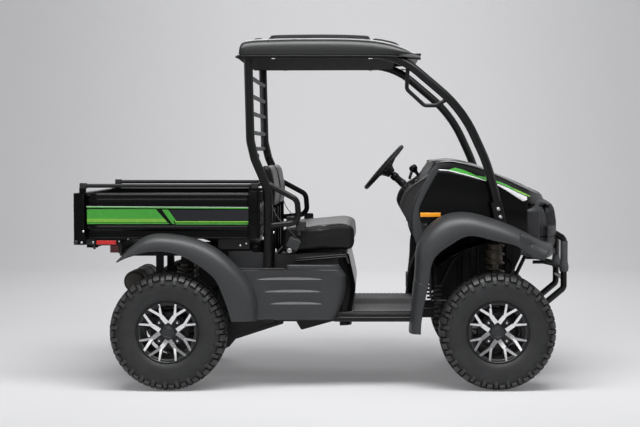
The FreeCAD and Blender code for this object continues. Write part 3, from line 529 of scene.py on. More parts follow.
# The back of the paper lets the camera look through, so the vehicle can be seen from behind it.
back, hidden, choice, clear = add("NewGeometry"), add("Math",
    operation="MULTIPLY"), add("MixShader"), add("BsdfTransparent")
link(back, "Backfacing", hidden, 0)
link(path, "Is Camera Ray", hidden, 1)
link(hidden, "Value", choice, 0)
link(total, "Shader", choice, 1)
link(clear, "BSDF", choice, 2)
link(choice, "Shader", out, "Surface")
sweep_shape = paper_sweep()
sweep_mesh = bpy.data.meshes.new("paper_sweep")
sweep_mesh.from_pydata(sweep_shape.points.tolist(), [], sweep_shape.loops.reshape(-1, 4).tolist())
sweep_mesh.materials.append(paper)
sweep_mesh.shade_smooth()
sweep_piece = bpy.data.objects.new("paper_sweep", sweep_mesh)
scene.collection.objects.link(sweep_piece)


# %% Lights
def panel_light(name, place, target, width, depth, watts):
    """A soft rectangular light at place that faces target."""
    data = bpy.data.lights.new(name, "AREA")
    data.shape, data.size, data.size_y, data.energy = "RECTANGLE", width, depth, watts
    light = bpy.data.objects.new(name, data)
    light.location = place
    aim = numbers(target) - numbers(place)
    side, up = axes_of(-aim, (0, 1, 0) if abs(aim[2]) > abs(aim[1]) else (0, 0, 1))
    back = -aim / length_of(aim)
    matrix = np.identity(4)
    matrix[:3, 0], matrix[:3, 1], matrix[:3, 2], matrix[:3, 3] = side, up, back, place
    light.matrix_world = Matrix(matrix.tolist())
    light.visible_camera = False
    scene.collection.objects.link(light)
    return light


panel_light("roof_panel", (0.1, -1.9, 4.6), (0, 0.2, 0.5), 5.0, 2.1, 262)
panel_light("near_panel", (-1.0, -8.5, 4.2), (0, 0, 0.6), 6.0, 3.0, 64)
panel_light("far_panel", (0.0, 6.0, 4.6), (0, 0, 0.6), 4.0, 2.0, 80)
panel_light("tail_panel", (-6.0, -1.0, 2.6), (-0.8, 0, 0.8), 2.4, 2.6, 26)
panel_light("nose_panel", (6.0, -1.0, 2.6), (0.8, 0, 0.8), 2.4, 2.6, 26)
world = bpy.data.worlds.new("studio")
scene.world = world
world.use_nodes = True
world.node_tree.nodes["Background"].inputs["Color"].default_value = (0.8, 0.8, 0.82, 1)
world.node_tree.nodes["Background"].inputs["Strength"].default_value = 0.3
scene.view_settings.view_transform = "Standard"
print("lights:", [item.name for item in scene.objects if item.type == "LIGHT"])

# %% [markdown]
# ## Finishes
# Every surface of this vehicle is one of a few: grained plastic, gloss or satin
# paint, powder-coated tube, vinyl, rubber, cast and machined metal. A flat colour
# looks like a toy, because real surfaces vary a little in tone, in shine and in
# height. So each finish has three noises: one mottles the colour, one the
# roughness, and one, much finer, raises the grain. All of them follow the object's
# own coordinates, so nothing slides when a part moves.

# %% A finish
def finish(name, colour, rough, mottle, mottle_scale, grain, grain_scale, metal=0.0,
        rough_range=0.08, grain_kind="noise", coat=0.0, coat_rough=0.05, dust=0.0, dust_top=0.5,
        stretch=(1, 1, 1), sheen=0.0, specular=0.5, second=None, speckle=0.0, speckle_scale=300.0):
    """A material. dust lightens it towards the ground, stretch squeezes the grain along
    an axis, second is another colour that the mottle reaches."""
    material = bpy.data.materials.new(name)
    add, link = node_tree(material)
    out = add("OutputMaterial")
    shader = add("BsdfPrincipled", **{"Metallic": metal, "Specular IOR Level": specular,
        "Coat Weight": coat, "Coat Roughness": coat_rough, "Sheen Weight": sheen})
    link(shader, "BSDF", out, "Surface")
    place = add("TexCoord")
    squeeze = add("Mapping", Scale=stretch)
    link(place, "Object", squeeze, "Vector")

    base = numbers(colour)
    dark, light = base * (1 - mottle), base * (1 + mottle) if second is None else numbers(second)
    patches = add("TexNoise", Scale=mottle_scale, Detail=5.0, Roughness=0.6)
    tones = add("ValToRGB")
    tones.color_ramp.elements[0].position, tones.color_ramp.elements[1].position = 0.32, 0.68
    tones.color_ramp.elements[0].color = (*dark, 1)
    tones.color_ramp.elements[1].color = (*light, 1)
    link(squeeze, "Vector", patches, "Vector")
    link(patches, "Fac", tones, "Fac")
    colour_from, colour_socket = tones, "Color"
    if speckle:
        dots = add("TexVoronoi", Scale=speckle_scale)
        picked = add("MapRange", **limits(0.1, 0.3, speckle, 0.0))
        flecks = add("Mix", data_type="RGBA")
        flecks.inputs[7].default_value = (*np.minimum(base * 5 + 0.05, 0.6), 1)
        link(place, "Object", dots, "Vector")
        link(dots, "Distance", picked, "Value")
        link(picked, "Result", flecks, "Factor")
        link(tones, "Color", flecks, 6)
        colour_from, colour_socket = flecks, 2
    if dust:
        height, fade = add("SeparateXYZ"), add("MapRange", **limits(0.0, dust_top, dust, 0.0))
        film = add("Mix", data_type="RGBA")
        film.inputs[7].default_value = (*(base * 0.7 + 0.02), 1)
        link(place, "Object", height, "Vector")
        link(height, "Z", fade, "Value")
        link(fade, "Result", film, "Factor")
        link(colour_from, colour_socket, film, 6)
        colour_from, colour_socket = film, 2
    link(colour_from, colour_socket, shader, "Base Color")

    shine = add("TexNoise", Scale=mottle_scale * 2.7, Detail=3.0)
    levels = add("MapRange", **limits(0.0, 1.0, max(rough - rough_range, 0.02),
        min(rough + rough_range, 1.0)))
    link(squeeze, "Vector", shine, "Vector")
    link(shine, "Fac", levels, "Value")
    link(levels, "Result", shader, "Roughness")

    if grain:
        bumps = add("Bump", Strength=grain, Distance=0.001)
        if grain_kind == "cells":
            texture = add("TexVoronoi", Scale=grain_scale)
        elif grain_kind == "brushed":
            texture = add("TexNoise", Scale=grain_scale, Detail=2.0)
        else:
            texture = add("TexNoise", Scale=grain_scale, Detail=4.0, Roughness=0.65)
        link(texture, "Distance" if grain_kind == "cells" else "Fac", bumps, "Height")
        link(squeeze, "Vector", texture, "Vector")
        link(bumps, "Normal", shader, "Normal")
    return material


# %% The vehicle's finishes
# Name, colour, roughness, mottle and its scale, grain and its scale; then what is special.
grained_plastic = finish("grained_plastic", (0.034, 0.0352, 0.0375), 0.42, 0.1, 3.0, 0.35, 420,
    rough_range=0.05, speckle=0.05, speckle_scale=700)
dark_plastic = finish("dark_plastic", (0.011, 0.0114, 0.0122), 0.5, 0.15, 4.0, 0.3, 420)
liner_plastic = finish("liner_plastic", (0.012, 0.012, 0.013), 0.6, 0.2, 6.0, 0.25, 300, dust=0.3)
gloss_black = finish("gloss_black", (0.0028, 0.003, 0.0032), 0.16, 0.1, 2.0, 0.015, 60,
    rough_range=0.02, specular=0.16, coat=0.06, coat_rough=0.04)
bed_black = finish("bed_black", (0.0016, 0.0017, 0.0018), 0.24, 0.15, 3.0, 0.03, 140,
    rough_range=0.04, specular=0.16, coat=0.04, coat_rough=0.1)
tube_black = finish("tube_black", (0.0042, 0.0044, 0.0048), 0.3, 0.12, 12.0, 0.06, 600,
    rough_range=0.05, specular=0.34)
frame_black = finish("frame_black", (0.0045, 0.0047, 0.005), 0.44, 0.25, 10.0, 0.12, 500, dust=0.2,
    dust_top=0.45, specular=0.35)
screen_grey = finish("screen_grey", (0.1, 0.102, 0.105), 0.55, 0.15, 30.0, 0.4, 500)
bare_steel = finish("bare_steel", (0.52, 0.52, 0.53), 0.34, 0.1, 40.0, 0.08, 300, metal=1.0)
zinc_bolt = finish("zinc_bolt", (0.75, 0.75, 0.76), 0.25, 0.08, 80.0, 0.04, 600, metal=1.0)
spring_paint = finish("spring_paint", (0.085, 0.072, 0.052), 0.38, 0.25, 25.0, 0.1, 400, metal=0.3,
    coat=0.3, coat_rough=0.2)
cast_alloy = finish("cast_alloy", (0.2, 0.2, 0.205), 0.55, 0.25, 18.0, 0.55, 350, metal=0.8)
engine_black = finish("engine_black", (0.017, 0.017, 0.018), 0.5, 0.3, 14.0, 0.4, 300, dust=0.2)
hot_pipe = finish("hot_pipe", (0.075, 0.068, 0.062), 0.48, 0.35, 12.0, 0.15, 250, metal=0.6)
roof_plastic = finish("roof_plastic", (0.0065, 0.007, 0.0076), 0.33, 0.1, 2.5, 0.16, 520,
    rough_range=0.04, coat=0.08, coat_rough=0.35)
seat_vinyl = finish("seat_vinyl", (0.004, 0.0042, 0.0045), 0.38, 0.14, 6.0, 0.32, 620,
    rough_range=0.06, grain_kind="cells", sheen=0.02, specular=0.32)
grip_rubber = finish("grip_rubber", (0.018, 0.018, 0.019), 0.55, 0.12, 20.0, 0.3, 700)
pad_rubber = finish("pad_rubber", (0.07, 0.072, 0.075), 0.62, 0.1, 15.0, 0.25, 600)
tyre_rubber = finish("tyre_rubber", (0.0165, 0.017, 0.0178), 0.6, 0.18, 14.0, 0.35, 260,
    rough_range=0.1, second=(0.024, 0.0246, 0.0255))
# The tread blocks' rubber is the tyre's own rubber painted lighter, painted light on the raised
# faces; the grooves' rubber is it painted darker, painted shade in the recesses between blocks.
tyre_block = finish("tyre_block", (0.03, 0.0305, 0.0315), 0.5, 0.22, 30.0, 0.3, 320,
    rough_range=0.1)
tyre_groove = finish("tyre_groove", (0.005, 0.0052, 0.0055), 0.8, 0.2, 30.0, 0.3, 320, specular=0.2)
under_plastic = finish("under_plastic", (0.019, 0.0195, 0.02), 0.85, 0.12, 5.0, 0.3, 300,
    specular=0.08)
pod_plastic = finish("pod_plastic", (0.026, 0.0268, 0.0285), 0.4, 0.1, 5.0, 0.25, 420)
rim_paint = finish("rim_paint", (0.012, 0.0125, 0.013), 0.36, 0.1, 20.0, 0.05, 500, specular=0.4)
cap_plastic = finish("cap_plastic", (0.028, 0.029, 0.03), 0.38, 0.1, 30.0, 0.12, 700)
belt_web = finish("belt_web", (0.012, 0.012, 0.013), 0.7, 0.2, 60.0, 0.7, 500, sheen=0.2)
amber_lens = finish("amber_lens", (1.0, 0.38, 0.002), 0.22, 0.06, 20.0, 0.5, 260,
    grain_kind="cells", coat=0.8)
red_lens = finish("red_lens", (0.62, 0.012, 0.01), 0.22, 0.08, 20.0, 0.5, 260, grain_kind="cells",
    coat=0.8)
dark_red_lens = finish("dark_red_lens", (0.16, 0.006, 0.006), 0.18, 0.12, 20.0, 0.4, 200,
    grain_kind="cells", coat=0.9)
green_film = finish("green_film", (0.052, 0.34, 0.034), 0.26, 0.015, 6.0, 0.01, 200, coat=0.6,
    coat_rough=0.08)
lime_film = finish("lime_film", (0.19, 0.47, 0.048), 0.26, 0.05, 6.0, 0.01, 200, coat=0.6,
    coat_rough=0.08)
white_film = finish("white_film", (0.72, 0.72, 0.74), 0.28, 0.05, 40.0, 0.01, 200, coat=0.5,
    coat_rough=0.08)
navy_film = finish("navy_film", (0.0015, 0.0018, 0.006), 0.2, 0.15, 6.0, 0.01, 200, coat=0.6,
    coat_rough=0.06)
lens_clear = finish("lens_clear", (0.5, 0.52, 0.54), 0.1, 0.1, 30.0, 0.35, 90, coat=1.0,
    coat_rough=0.03, metal=0.35)
floor_rubber = finish("floor_rubber", (0.075, 0.076, 0.078), 0.66, 0.1, 8.0, 0.9, 190,
    grain_kind="cells", speckle=0.5, speckle_scale=160)


# %% [markdown]
# ## Machined alloy
# A diamond-cut spoke is turned on a lathe with a fine tool. The tool leaves rings
# that are far too small to see one by one, yet they pull the highlight into a fan.
# Fine noise stretched across the wheel's axis gives that broken shine.

# %% Machined alloy
machined = finish("machined_alloy", (0.8, 0.8, 0.81), 0.22, 0.05, 60.0, 0.12, 700, metal=1.0,
    rough_range=0.1, grain_kind="brushed", stretch=(1, 0.05, 1))

SLOT_FINISH = {"tyre": tyre_rubber, "rim_alloy": rim_paint, "frame_black": frame_black,
    "tube_black": tube_black, "screen_grey": screen_grey, "bare_steel": bare_steel,
    "shock_steel": spring_paint, "engine_iron": engine_black, "fender_plastic": grained_plastic,
    "body_gloss": gloss_black, "bed_gloss": bed_black, "roof_charcoal": roof_plastic,
    "seat_vinyl": seat_vinyl, "grip_rubber": grip_rubber, "lamp_clear": lens_clear,
    "lamp_red": dark_red_lens}
slot_of_node = {entry["node"]: entry["material_slot"] for entry in frame["record"]["subparts"]}
NODE_FINISH = {"rear_axle": engine_black, "muffler": hot_pipe, "floor_pan": floor_rubber,
    "engine_block": engine_black, "seat_base": bed_black, "hitch_tongue": frame_black}
print("finishes:", len(bpy.data.materials), "nodes with a slot:", len(slot_of_node))

# %% [markdown]
# ## Tyres
# An all-terrain tyre is a smooth carcass with rubber blocks standing on it. The blocks
# could be modelled one by one and copied round, but then each would only rest on the
# carcass. Here the whole tyre is one surface over two parameters: the distance across
# the tread and the turn round the axle. A block is where the surface is raised, so
# rows and columns of points stand exactly on the blocks' edges.

# %% Tyre
PITCHES = 27
HALF_TREAD = mm((0, 308), (40, 307.5), (78, 305), (100, 297), (113, 282), (119.5, 262), (122, 236),
    (119, 206), (110, 182), (97, 168))
# Blocks: columns of one pitch that they fill, and how far across they reach (mm).
BLOCKS = [("a", 6, 62, 12.0), ("b", 34, 76, 12.0), ("a", 78, 119, 12.0), ("b", 98, 140, 8.0),
    ("b", -62, -6, 12.0), ("a", -76, -34, 12.0), ("b", -119, -78, 12.0), ("a", -140, -98, 8.0),
    ("b", -4, 22, 11.0), ("a", -22, 4, 11.0)]
COLUMN = {"a": (0.045, 0.505), "b": (0.62, 0.93)}
STEP = 0.016


def tyre_shape():
    """The outline across the tyre is a smooth curve measured by its own length. At
    (across, turn) the surface stands at that outline pushed out along its normal by the
    block height there. A chevron shifts the turn by an amount that grows across."""
    half = evenly(smooth_curve(HALF_TREAD, 200), 241)
    length = np.concatenate([[0], np.cumsum(np.linalg.norm(np.diff(half, axis=0), axis=1))])
    slope = np.gradient(half, axis=0)
    normal = columns(-slope[:, 1], slope[:, 0])
    normal /= np.linalg.norm(normal, axis=1)[:, None]
    edges = sorted({abs(value) for _, near, far, _ in BLOCKS for value in (near, far)})
    marks = {0.0, length[-1]}
    for edge in edges:
        marks.update((max(edge / 1000 - 0.0008, 0), edge / 1000 + 0.0008))
    marks.update(np.linspace(0.145, length[-1], 11))
    marks.update(mm(12, 50, 70, 84, 108, 120))
    marks = np.array(sorted(marks))
    across = np.concatenate([-marks[:0:-1], marks])
    turns = []
    for start, end in COLUMN.values():
        turns += [start - STEP, start + STEP, start + 0.33 * (end - start),
            start + 0.67 * (end - start), end - STEP, end + STEP]
    turns = np.sort(np.concatenate([np.array(turns) + pitch for pitch in range(PITCHES)]))
    part = turns % 1.0
    raised = np.zeros((len(across), len(turns)))
    for column, near, far, tall in BLOCKS:
        start, end = COLUMN[column]
        inside_turn = (part > start) & (part < end)
        inside_across = (across > near / 1000) & (across < far / 1000)
        raised = np.maximum(raised, tall / 1000 * inside_across[:, None] * inside_turn[None])
    side = np.abs(across)
    y = np.sign(across) * np.interp(side, length, half[:, 0])
    r = np.interp(side, length, half[:, 1])
    # A bead ring and a shoulder ring stand a little proud of the sidewall.
    ring = 0.0022 * np.exp(-((r - 0.196) / 0.004) ** 2) + 0.0012 * np.exp(-((r - 0.258) / 0.003)
        ** 2)
    ny = np.sign(across) * np.interp(side, length, normal[:, 0])
    nr = np.interp(side, length, normal[:, 1])
    push = raised + (ring * (side > 0.15))[:, None]
    y_all = y[:, None] + ny[:, None] * push
    r_all = np.minimum(r[:, None] + nr[:, None] * push, TYRE_R)
    chevron = 0.3 * np.clip(side / 0.075, 0, 1)[:, None]
    angle = (turns[None] + chevron) * 2 * np.pi / PITCHES
    outside = columns(r_all * np.cos(angle), y_all, r_all * np.sin(angle))
    lining = mm((88, 166), (104, 190), (106, 250), (90, 285), (0, 292), (-90, 285), (-106, 250),
        (-104, 190), (-88, 166))
    inside = columns(lining[:, 1:] * np.cos(angle[-1:]), np.repeat(lining[:, :1], len(turns), 1),
        lining[:, 1:] * np.sin(angle[-1:]))
    tyre = grid(np.concatenate([outside, inside]), wrap_u=True, wrap_v=True)
    # A face whose four corners all stand on a block wears the block's rubber, a lighter copy with
    # painted light on the raised faces; a low face between blocks wears the groove's rubber, a
    # darker copy with painted shade in the recess.
    rows = len(across) - 1
    up = raised > 0
    following = np.roll(up, -1, 1)
    on_block = up[:-1] & up[1:] & following[:-1] & following[1:]
    between = ~(up[:-1] | up[1:] | following[:-1] | following[1:]) & (np.maximum(side[:-1],
        side[1:]) < 0.132)[:, None]
    skins = tyre.skins.copy()
    skins[:rows * len(turns)] = (on_block * 1 + between * 2).ravel()
    return tyre._replace(skins=skins)


tyre = tyre_shape()
print("tyre:", len(tyre.sizes), "faces, radius",
    round(float(np.hypot(tyre.points[:, 0], tyre.points[:, 2]).max()), 4))

# %% [markdown]
# ## Rims
# The rim is a dark cast wheel whose spokes are machined bright on their faces only.
# Four pairs of legs start beside the hub, and each leg forks into two arms that run
# out to the lip. Each arm is a bar: its path lies on a shallow dish, and its section
# is a flat top with broken edges on two leaning sides. The top face alone wears the
# machined finish.

# %% Rim
RIM_R = 0.167


def on_rim(share, turn):
    """x and z at a share of the rim's radius and an angle in degrees."""
    return share * RIM_R * np.array((math.cos(math.radians(turn)), math.sin(math.radians(turn))))


def dish(radius):
    """How far the spokes' faces stand out from the tyre's middle plane: they rise from
    the hub towards the lip as a power of the radius."""
    return 0.058 + 0.041 * np.clip((radius / RIM_R - 0.25) / 0.72, 0, 1) ** 1.4


def arm(start, end, start_width, end_width, deep=0.024):
    """A spoke's bar between two places (share of the rim's radius, degrees). Its section
    is a trapezium whose top edges are broken."""
    places = np.array([on_rim(*start), on_rim(*end)])
    t = np.linspace(0, 1, 6)[:, None]
    line = places[0] * (1 - t) + places[1] * t
    along = (places[1] - places[0]) / length_of(places[1] - places[0])
    across = np.array([-along[1], along[0]])
    half = (start_width * (1 - t) + end_width * t) / 2
    edge, lean = 0.0012, 0.0025
    offsets = np.concatenate([-half, -half + edge, half - edge, half, half + lean, -half - lean], 1)
    depths = np.array([-edge, 0, 0, -edge, -deep, -deep])
    plane = line[:, None] + offsets[..., None] * across
    out = dish(np.linalg.norm(line, axis=1))[:, None] + depths
    bar = sheet(plane[..., 0], out, plane[..., 1], wrap_v=True, cap=True)
    skins = bar.skins.copy()
    skins[:5 * 6].reshape(5, 6)[:, 1] = 1
    return bar._replace(skins=skins)


def rim_shape():
    """Arms, hub and barrel. Places are given by share of the radius and degrees."""
    parts = []
    for quarter in (0, 90, 180, 270):
        for side in (1, -1):
            fork = (0.57, quarter + side * 23)
            parts.append(arm((0.28, quarter + side * 8), fork, 0.027, 0.024))
            parts.append(arm(fork, (0.975, quarter + side * 16.2), 0.0165, 0.012))
            parts.append(arm(fork, (0.975, quarter + side * 38.2), 0.018, 0.015))
    barrel = mm((100, 161), (103, 164), (103.5, 168), (100, 170), (94, 169.5), (90, 163), (60, 158),
        (20, 146), (-60, 142), (-90, 158), (-100, 165), (-100, 158), (-88, 150), (-60, 136),
        (20, 138), (62, 148), (74, 150), (86, 152.5), (88, 158))
    parts.append(revolve(np.concatenate([barrel, barrel[:1]]), (0, 0, 0), (0, 1, 0), 72))
    ring = mm((78, 149), (90, 149.5), (92.5, 152), (92.5, 160), (90, 163), (78, 163))
    parts.append(revolve(np.concatenate([ring, ring[:1]]), (0, 0, 0), (0, 1, 0), 72, skin=2))
    hub = mm((20, 0), (20, 52), (46, 56), (56, 50), (58, 46), (58, 0))
    parts.append(revolve(hub, (0, 0, 0), (0, 1, 0), 48))
    for turn in (45, 135, 225, 315):
        x, z = on_rim(0.42, turn)
        lobe = mm((30, 0), (30, 20), (54, 19), (57, 16), (57, 11), (51, 9.5), (51, 0))
        parts.append(revolve(lobe, (x, 0, z), (0, 1, 0), 24, skin=2))
    return joined(parts)


def nuts_and_cap():
    """Four wheel nuts, each a hexagon with a domed end, and the hub's cap."""
    parts = []
    for turn in (45, 135, 225, 315):
        x, z = on_rim(0.42, turn)
        nut = mm((50, 0), (50, 8.5), (62, 8.5), (66, 6), (68, 0))
        parts.append(skinned(revolve(nut, (x, 0, z), (0, 1, 0), 6), 0))
    cap = mm((56, 0), (56, 35), (70, 35), (73, 33), (74, 29), (72.5, 27), (72.5, 24), (74.5, 22),
        (76, 0))
    parts.append(skinned(revolve(cap, (0, 0, 0), (0, 1, 0), 48), 1))
    return joined(parts)


rim = rim_shape()
nuts = nuts_and_cap()
valve = rod((0.15 * math.cos(1.9), 0.078, 0.15 * math.sin(1.9)),
    (0.143 * math.cos(1.9), 0.104, 0.143 * math.sin(1.9)), 0.004, 10, edge=0.001)
drum = revolve(mm((-12, 0), (-12, 96), (-8, 102), (14, 102), (16, 98), (16, 60), (20, 56), (20, 0)),
    (0, 0, 0), (0, 1, 0), 48)
WHEELS = [("rear_left", REAR, 1), ("rear_right", REAR, -1), ("front_left", FRONT, 1),
    ("front_right", FRONT, -1)]


def at_wheel(shape, x, side):
    """The shape moved to its axle's end. The left one is a mirror image of the right."""
    moved = shape._replace(points=shape.points + [x, HALF_TRACK, WHEEL_Z])
    return moved if side > 0 else other_side(moved)


for place, x, side in WHEELS:
    body = "wheel_" + place
    make("tread_" + place, at_wheel(tyre, x, side), [tyre_rubber, tyre_block, tyre_groove], body,
        crisp=28, replaces=["tyre_" + place], slot="tyre")
    make("spokes_" + place, at_wheel(rim, x, side), [rim_paint, machined, cap_plastic], body,
        crisp=30, replaces=["rim_" + place], slot="rim_alloy")
    make("nuts_" + place, at_wheel(nuts, x, side), [zinc_bolt, cap_plastic], body, crisp=30)
    make("valve_" + place, at_wheel(valve, x, side), grip_rubber, body, crisp=35)
    make("drum_" + place, at_wheel(drum, x, side), engine_black, body, crisp=30)
print("rim:", len(rim.sizes), "faces")

# %% [markdown]
# ## Fenders
# The fenders are moulded from a dark, grained plastic. Each is a soft arch: level
# where it meets the body, rolling over like a quarter of a squared-off ellipse, and
# ending in a narrow lip that turns back towards the tyre. A loft between flat
# sections would show its flats in the highlight, so the section's sizes are carried
# by smooth curves over the angle round the axle.

# %% Fender arches
# Angle from forwards (degrees), top edge and lip beyond the tyre's tread (mm).
REAR_ARCH = [(125, 157, 151), (119, 172, 146), (113, 190, 140), (101, 219, 133), (84, 211, 116),
    (66, 207, 90), (49, 199, 76), (36, 197, 52), (22, 192, 38), (7, 166, 38)]
FRONT_ARCH = [(181, 164, 106), (168, 165, 108), (155, 192, 122), (143, 245, 156), (131, 338, 217),
    (118, 379, 229), (107, 362, 234), (93, 301, 186), (78, 252, 164), (66, 232, 137),
    (58, 232, 150)]
FENDER_OUTER = high("front_fenders", "y")
REAR_INNER = HALF_BODY + 0.01
FRONT_INNER = HALF_COWL + 0.0085


def arch(axle_x, table, inner, outer, seams=(), level=0.0):
    """Over the angle, top and lip follow smooth curves. Over the section's own turn t,
    y goes from inner to outer as sin t to a power, and the reach falls from top to lip
    as cos t to the same power; the last rows turn the lip inwards. A seam is a
    narrow dip of the reach."""
    rows = smooth_curve(table, 90)
    degrees = rows[:, 0]
    for seam in seams:
        degrees = np.concatenate([degrees, seam + np.array([-0.45, -0.2, 0, 0.2, 0.45])])
    degrees = np.sort(degrees)[::-1]
    order = np.argsort(rows[:, 0])
    top = WHEEL_Z + np.interp(degrees, rows[order, 0], rows[order, 1]) / 1000
    lip = WHEEL_Z + np.interp(degrees, rows[order, 0], rows[order, 2]) / 1000
    t = np.linspace(0, np.pi / 2, 16)
    power = 2 / 2.6
    across = inner + (outer - inner) * np.sin(t) ** power
    share = np.cos(t) ** power
    share[-1] = 0.0
    reach = lip[:, None] + (top - lip)[:, None] * share
    across = np.concatenate([across, outer - mm(2, 9, 16)])
    reach = np.concatenate([reach, lip[:, None] - mm(3, 4.5, 4.0)[None]], 1)
    for seam in seams:
        reach -= 0.003 * np.exp(-((degrees - seam) / 0.22) ** 2)[:, None]
    fall = 1 - (reach - lip[:, None]) / (top - lip)[:, None]
    turn = np.radians(degrees)[:, None] + level * np.clip((16 - degrees) / 9, 0, 1)[:, None] * fall
    points = columns(axle_x + np.cos(turn) * reach, across, WHEEL_Z + np.sin(turn) * reach)
    return grid(points)


rear_arch = arch(REAR, REAR_ARCH, REAR_INNER, FENDER_OUTER, level=0.05)
front_arch = arch(FRONT, FRONT_ARCH, FRONT_INNER, FENDER_OUTER, seams=(69.5, 147.5))
for name, shape, node in (("rear_fender", rear_arch, "rear_fenders"),
        ("front_fender", front_arch, "front_fenders")):
    make_pair(name, shape, grained_plastic, (0, 1, 0.6), wall=0.004, crisp=50, replaces=[node],
        slot="fender_plastic")
print("fender faces:", len(rear_arch.sizes), len(front_arch.sizes))

# %% [markdown]
# ## Bumper corners
# In front of each front wheel the fender runs on into a bumper corner that wraps
# round to the nose. It is one moulding with two facets, so its section changes from
# a tall plate behind to a low rounded end in front.

# %% Bumper corners
def bumper_corner():
    """Sections square to the vehicle's length, each from its inner top edge over the
    shoulder and down to its foot. Every corner of the section follows a smooth curve
    over x."""
    # x from the front axle, top, shoulder, belly and foot heights, outer reach (mm).
    table = numbers([(118, 872, 838, 790, 742, 700), (160, 856, 822, 772, 732, 694),
        (205, 832, 800, 752, 722, 672), (250, 812, 786, 742, 716, 628),
        (290, 800, 778, 740, 718, 560), (318, 796, 776, 742, 722, 470)])
    rows = smooth_curve(table, 40) / 1000
    x, top, shoulder, belly, foot, outer = rows.T
    inner = outer - np.interp(x, (0.118, 0.318), mm(150, 90))
    profile = np.stack([columns(x, inner, top), columns(x, inner + 0.5 * (outer - inner),
        top - 0.004), columns(x, outer - 0.012, shoulder + 0.55 * (top - shoulder)),
        columns(x, outer, shoulder), columns(x, outer - 0.002, belly),
        columns(x, outer - 0.03, foot + 0.006), columns(x, outer - 0.055, foot)], 1)
    fine = np.stack([smooth_curve(section, 25) for section in profile])
    fine[..., 0] += FRONT
    return grid(fine)


make_pair("bumper_corner", bumper_corner(), grained_plastic, (0.4, 1, 0.5), wall=0.004)

# %% [markdown]
# ## Side panels
# Between the rear fender and the doorway a flat plastic panel closes the body. Three
# scoops are pressed into it. Each scoop is a lens: its floor slopes gently in
# from the top and steps out again at a crisp lower edge, which catches the light.

# %% Side panels
PANEL_Y = REAR_INNER + 0.006
SCOOPS = [(-0.195, 0.601, 0.18), (-0.179, 0.533, 0.157), (-0.161, 0.466, 0.144)]


def panel_edge(heights):
    """The panel's rear edge lies on the fender's inner edge, and its front edge bulges
    a little, both as functions of the height."""
    rows = smooth_curve(REAR_ARCH, 200)
    turn, reach = np.radians(rows[:, 0]), WHEEL_Z + rows[:, 1] / 1000
    arch_x, arch_z = REAR + np.cos(turn) * reach, WHEEL_Z + np.sin(turn) * reach
    order = np.argsort(arch_z)
    rear = np.interp(heights, arch_z[order], arch_x[order]) - 0.012
    front = np.interp(heights, mm(378, 448, 542, 620, 684), POST_X + mm(362, 399, 425, 427, 386))
    return rear, front


def side_panel():
    """A sheet over height and length. Near its front edge it rolls inwards as a quarter
    circle, and inside each scoop it is pushed in by the scoop's depth there."""
    marks = [0.378, 0.384, 0.656]
    for _, floor, _ in SCOOPS:
        marks += [floor - 0.002, floor, floor + 0.003, floor + 0.006, floor + 0.009, floor + 0.012,
            floor + 0.0145]
    heights = np.sort(np.concatenate([marks, np.linspace(0.39, 0.65, 66)]))
    rear, front = panel_edge(heights)
    t = np.concatenate([np.linspace(0, 0.86, 80), np.linspace(0.87, 1, 22)])
    x = rear[:, None] * (1 - t) + front[:, None] * t
    z = np.broadcast_to(heights[:, None], x.shape)
    roll = np.clip((x - (front - 0.085)[:, None]) / 0.085, 0, 1)
    y = PANEL_Y - 0.06 * (1 - np.sqrt(np.clip(1 - roll ** 2, 0, 1)))
    for centre, floor, half in SCOOPS:
        reach = np.clip(1 - ((x - centre) / half) ** 2, 0, 1)
        ledge = 0.0135 * reach ** 0.6 + 1e-6
        dent = np.minimum((z - floor) / ledge, 1 - smooth_step(z, floor + 0.014, floor + 0.062))
        y = y - 0.0125 * reach ** 0.6 * dent * (z >= floor - 1e-6)
    y = y - 0.012 * np.clip((0.392 - z) / 0.014, 0, 1) ** 2
    return sheet(x, y, z)


def panel_tab():
    """The panel's raised front part: the same sheet carried up to a higher edge."""
    heights = np.linspace(0.6562, 0.684, 5)
    front = panel_edge(heights)[1]
    t = np.concatenate([np.linspace(0, 0.75, 12), np.linspace(0.78, 1, 18)])
    x = -0.212 * (1 - t) + front[:, None] * t
    roll = np.clip((x - (front - 0.085)[:, None]) / 0.085, 0, 1)
    y = PANEL_Y - 0.06 * (1 - np.sqrt(np.clip(1 - roll ** 2, 0, 1))) - 0.004 * np.clip(
        (heights[:, None] - 0.678) / 0.006, 0, 1)
    return sheet(x, y, heights[:, None])


panel = joined([side_panel(), panel_tab()])
make_pair("side_panel", panel, grained_plastic, (0, 1, 0), wall=0.004, replaces=["side_panels"],
    slot="fender_plastic")
ledge = sweep(np.array([[-0.65, PANEL_Y - 0.004, 0.66], [-0.222, PANEL_Y - 0.004, 0.66]]),
    oblong(0.01, 0.012, 0.004, 3), (0, 1, 0))
make("panel_ledge", both_sides(ledge), dark_plastic)
print("panel faces:", len(panel.sizes))

# %% [markdown]
# ## Hood
# The hood is a gloss black shell. Its upright sides end in a falling edge, above
# which a sloping band carries the coloured film, and then the top crowns over to the
# other side. All of these follow x, so the hood is a few curves over x (where the
# edge is, how wide and how tall the hood is) and one section built from them.

# %% Hood curves
# x from the front axle, heights of the falling edge and the crown, the side's draw-in (mm).
HOOD_TABLE = numbers([(-330, 1203, 1254, 0), (-270, 1198, 1262, 0), (-226, 1188, 1262, 0),
    (-150, 1168, 1246, 1), (-80, 1147, 1225, 2), (0, 1119, 1190, 12), (50, 1095, 1169, 22),
    (90, 1072, 1152, 32), (130, 1049, 1134, 48), (176, 1024, 1114, 66), (200, 1012, 1103, 84),
    (240, 1004, 1086, 150), (270, 1010, 1073, 215), (290, 1022, 1060, 262)])


def hood_curves(x):
    """Edge height, crown height and half width at x (all in metres), from smooth
    curves through the table."""
    rows = smooth_curve(HOOD_TABLE, 200) / 1000
    edge, crown, draw = (np.interp(x, rows[:, 0], rows[:, column]) for column in (1, 2, 3))
    return edge, crown, HALF_COWL + 0.004 - draw


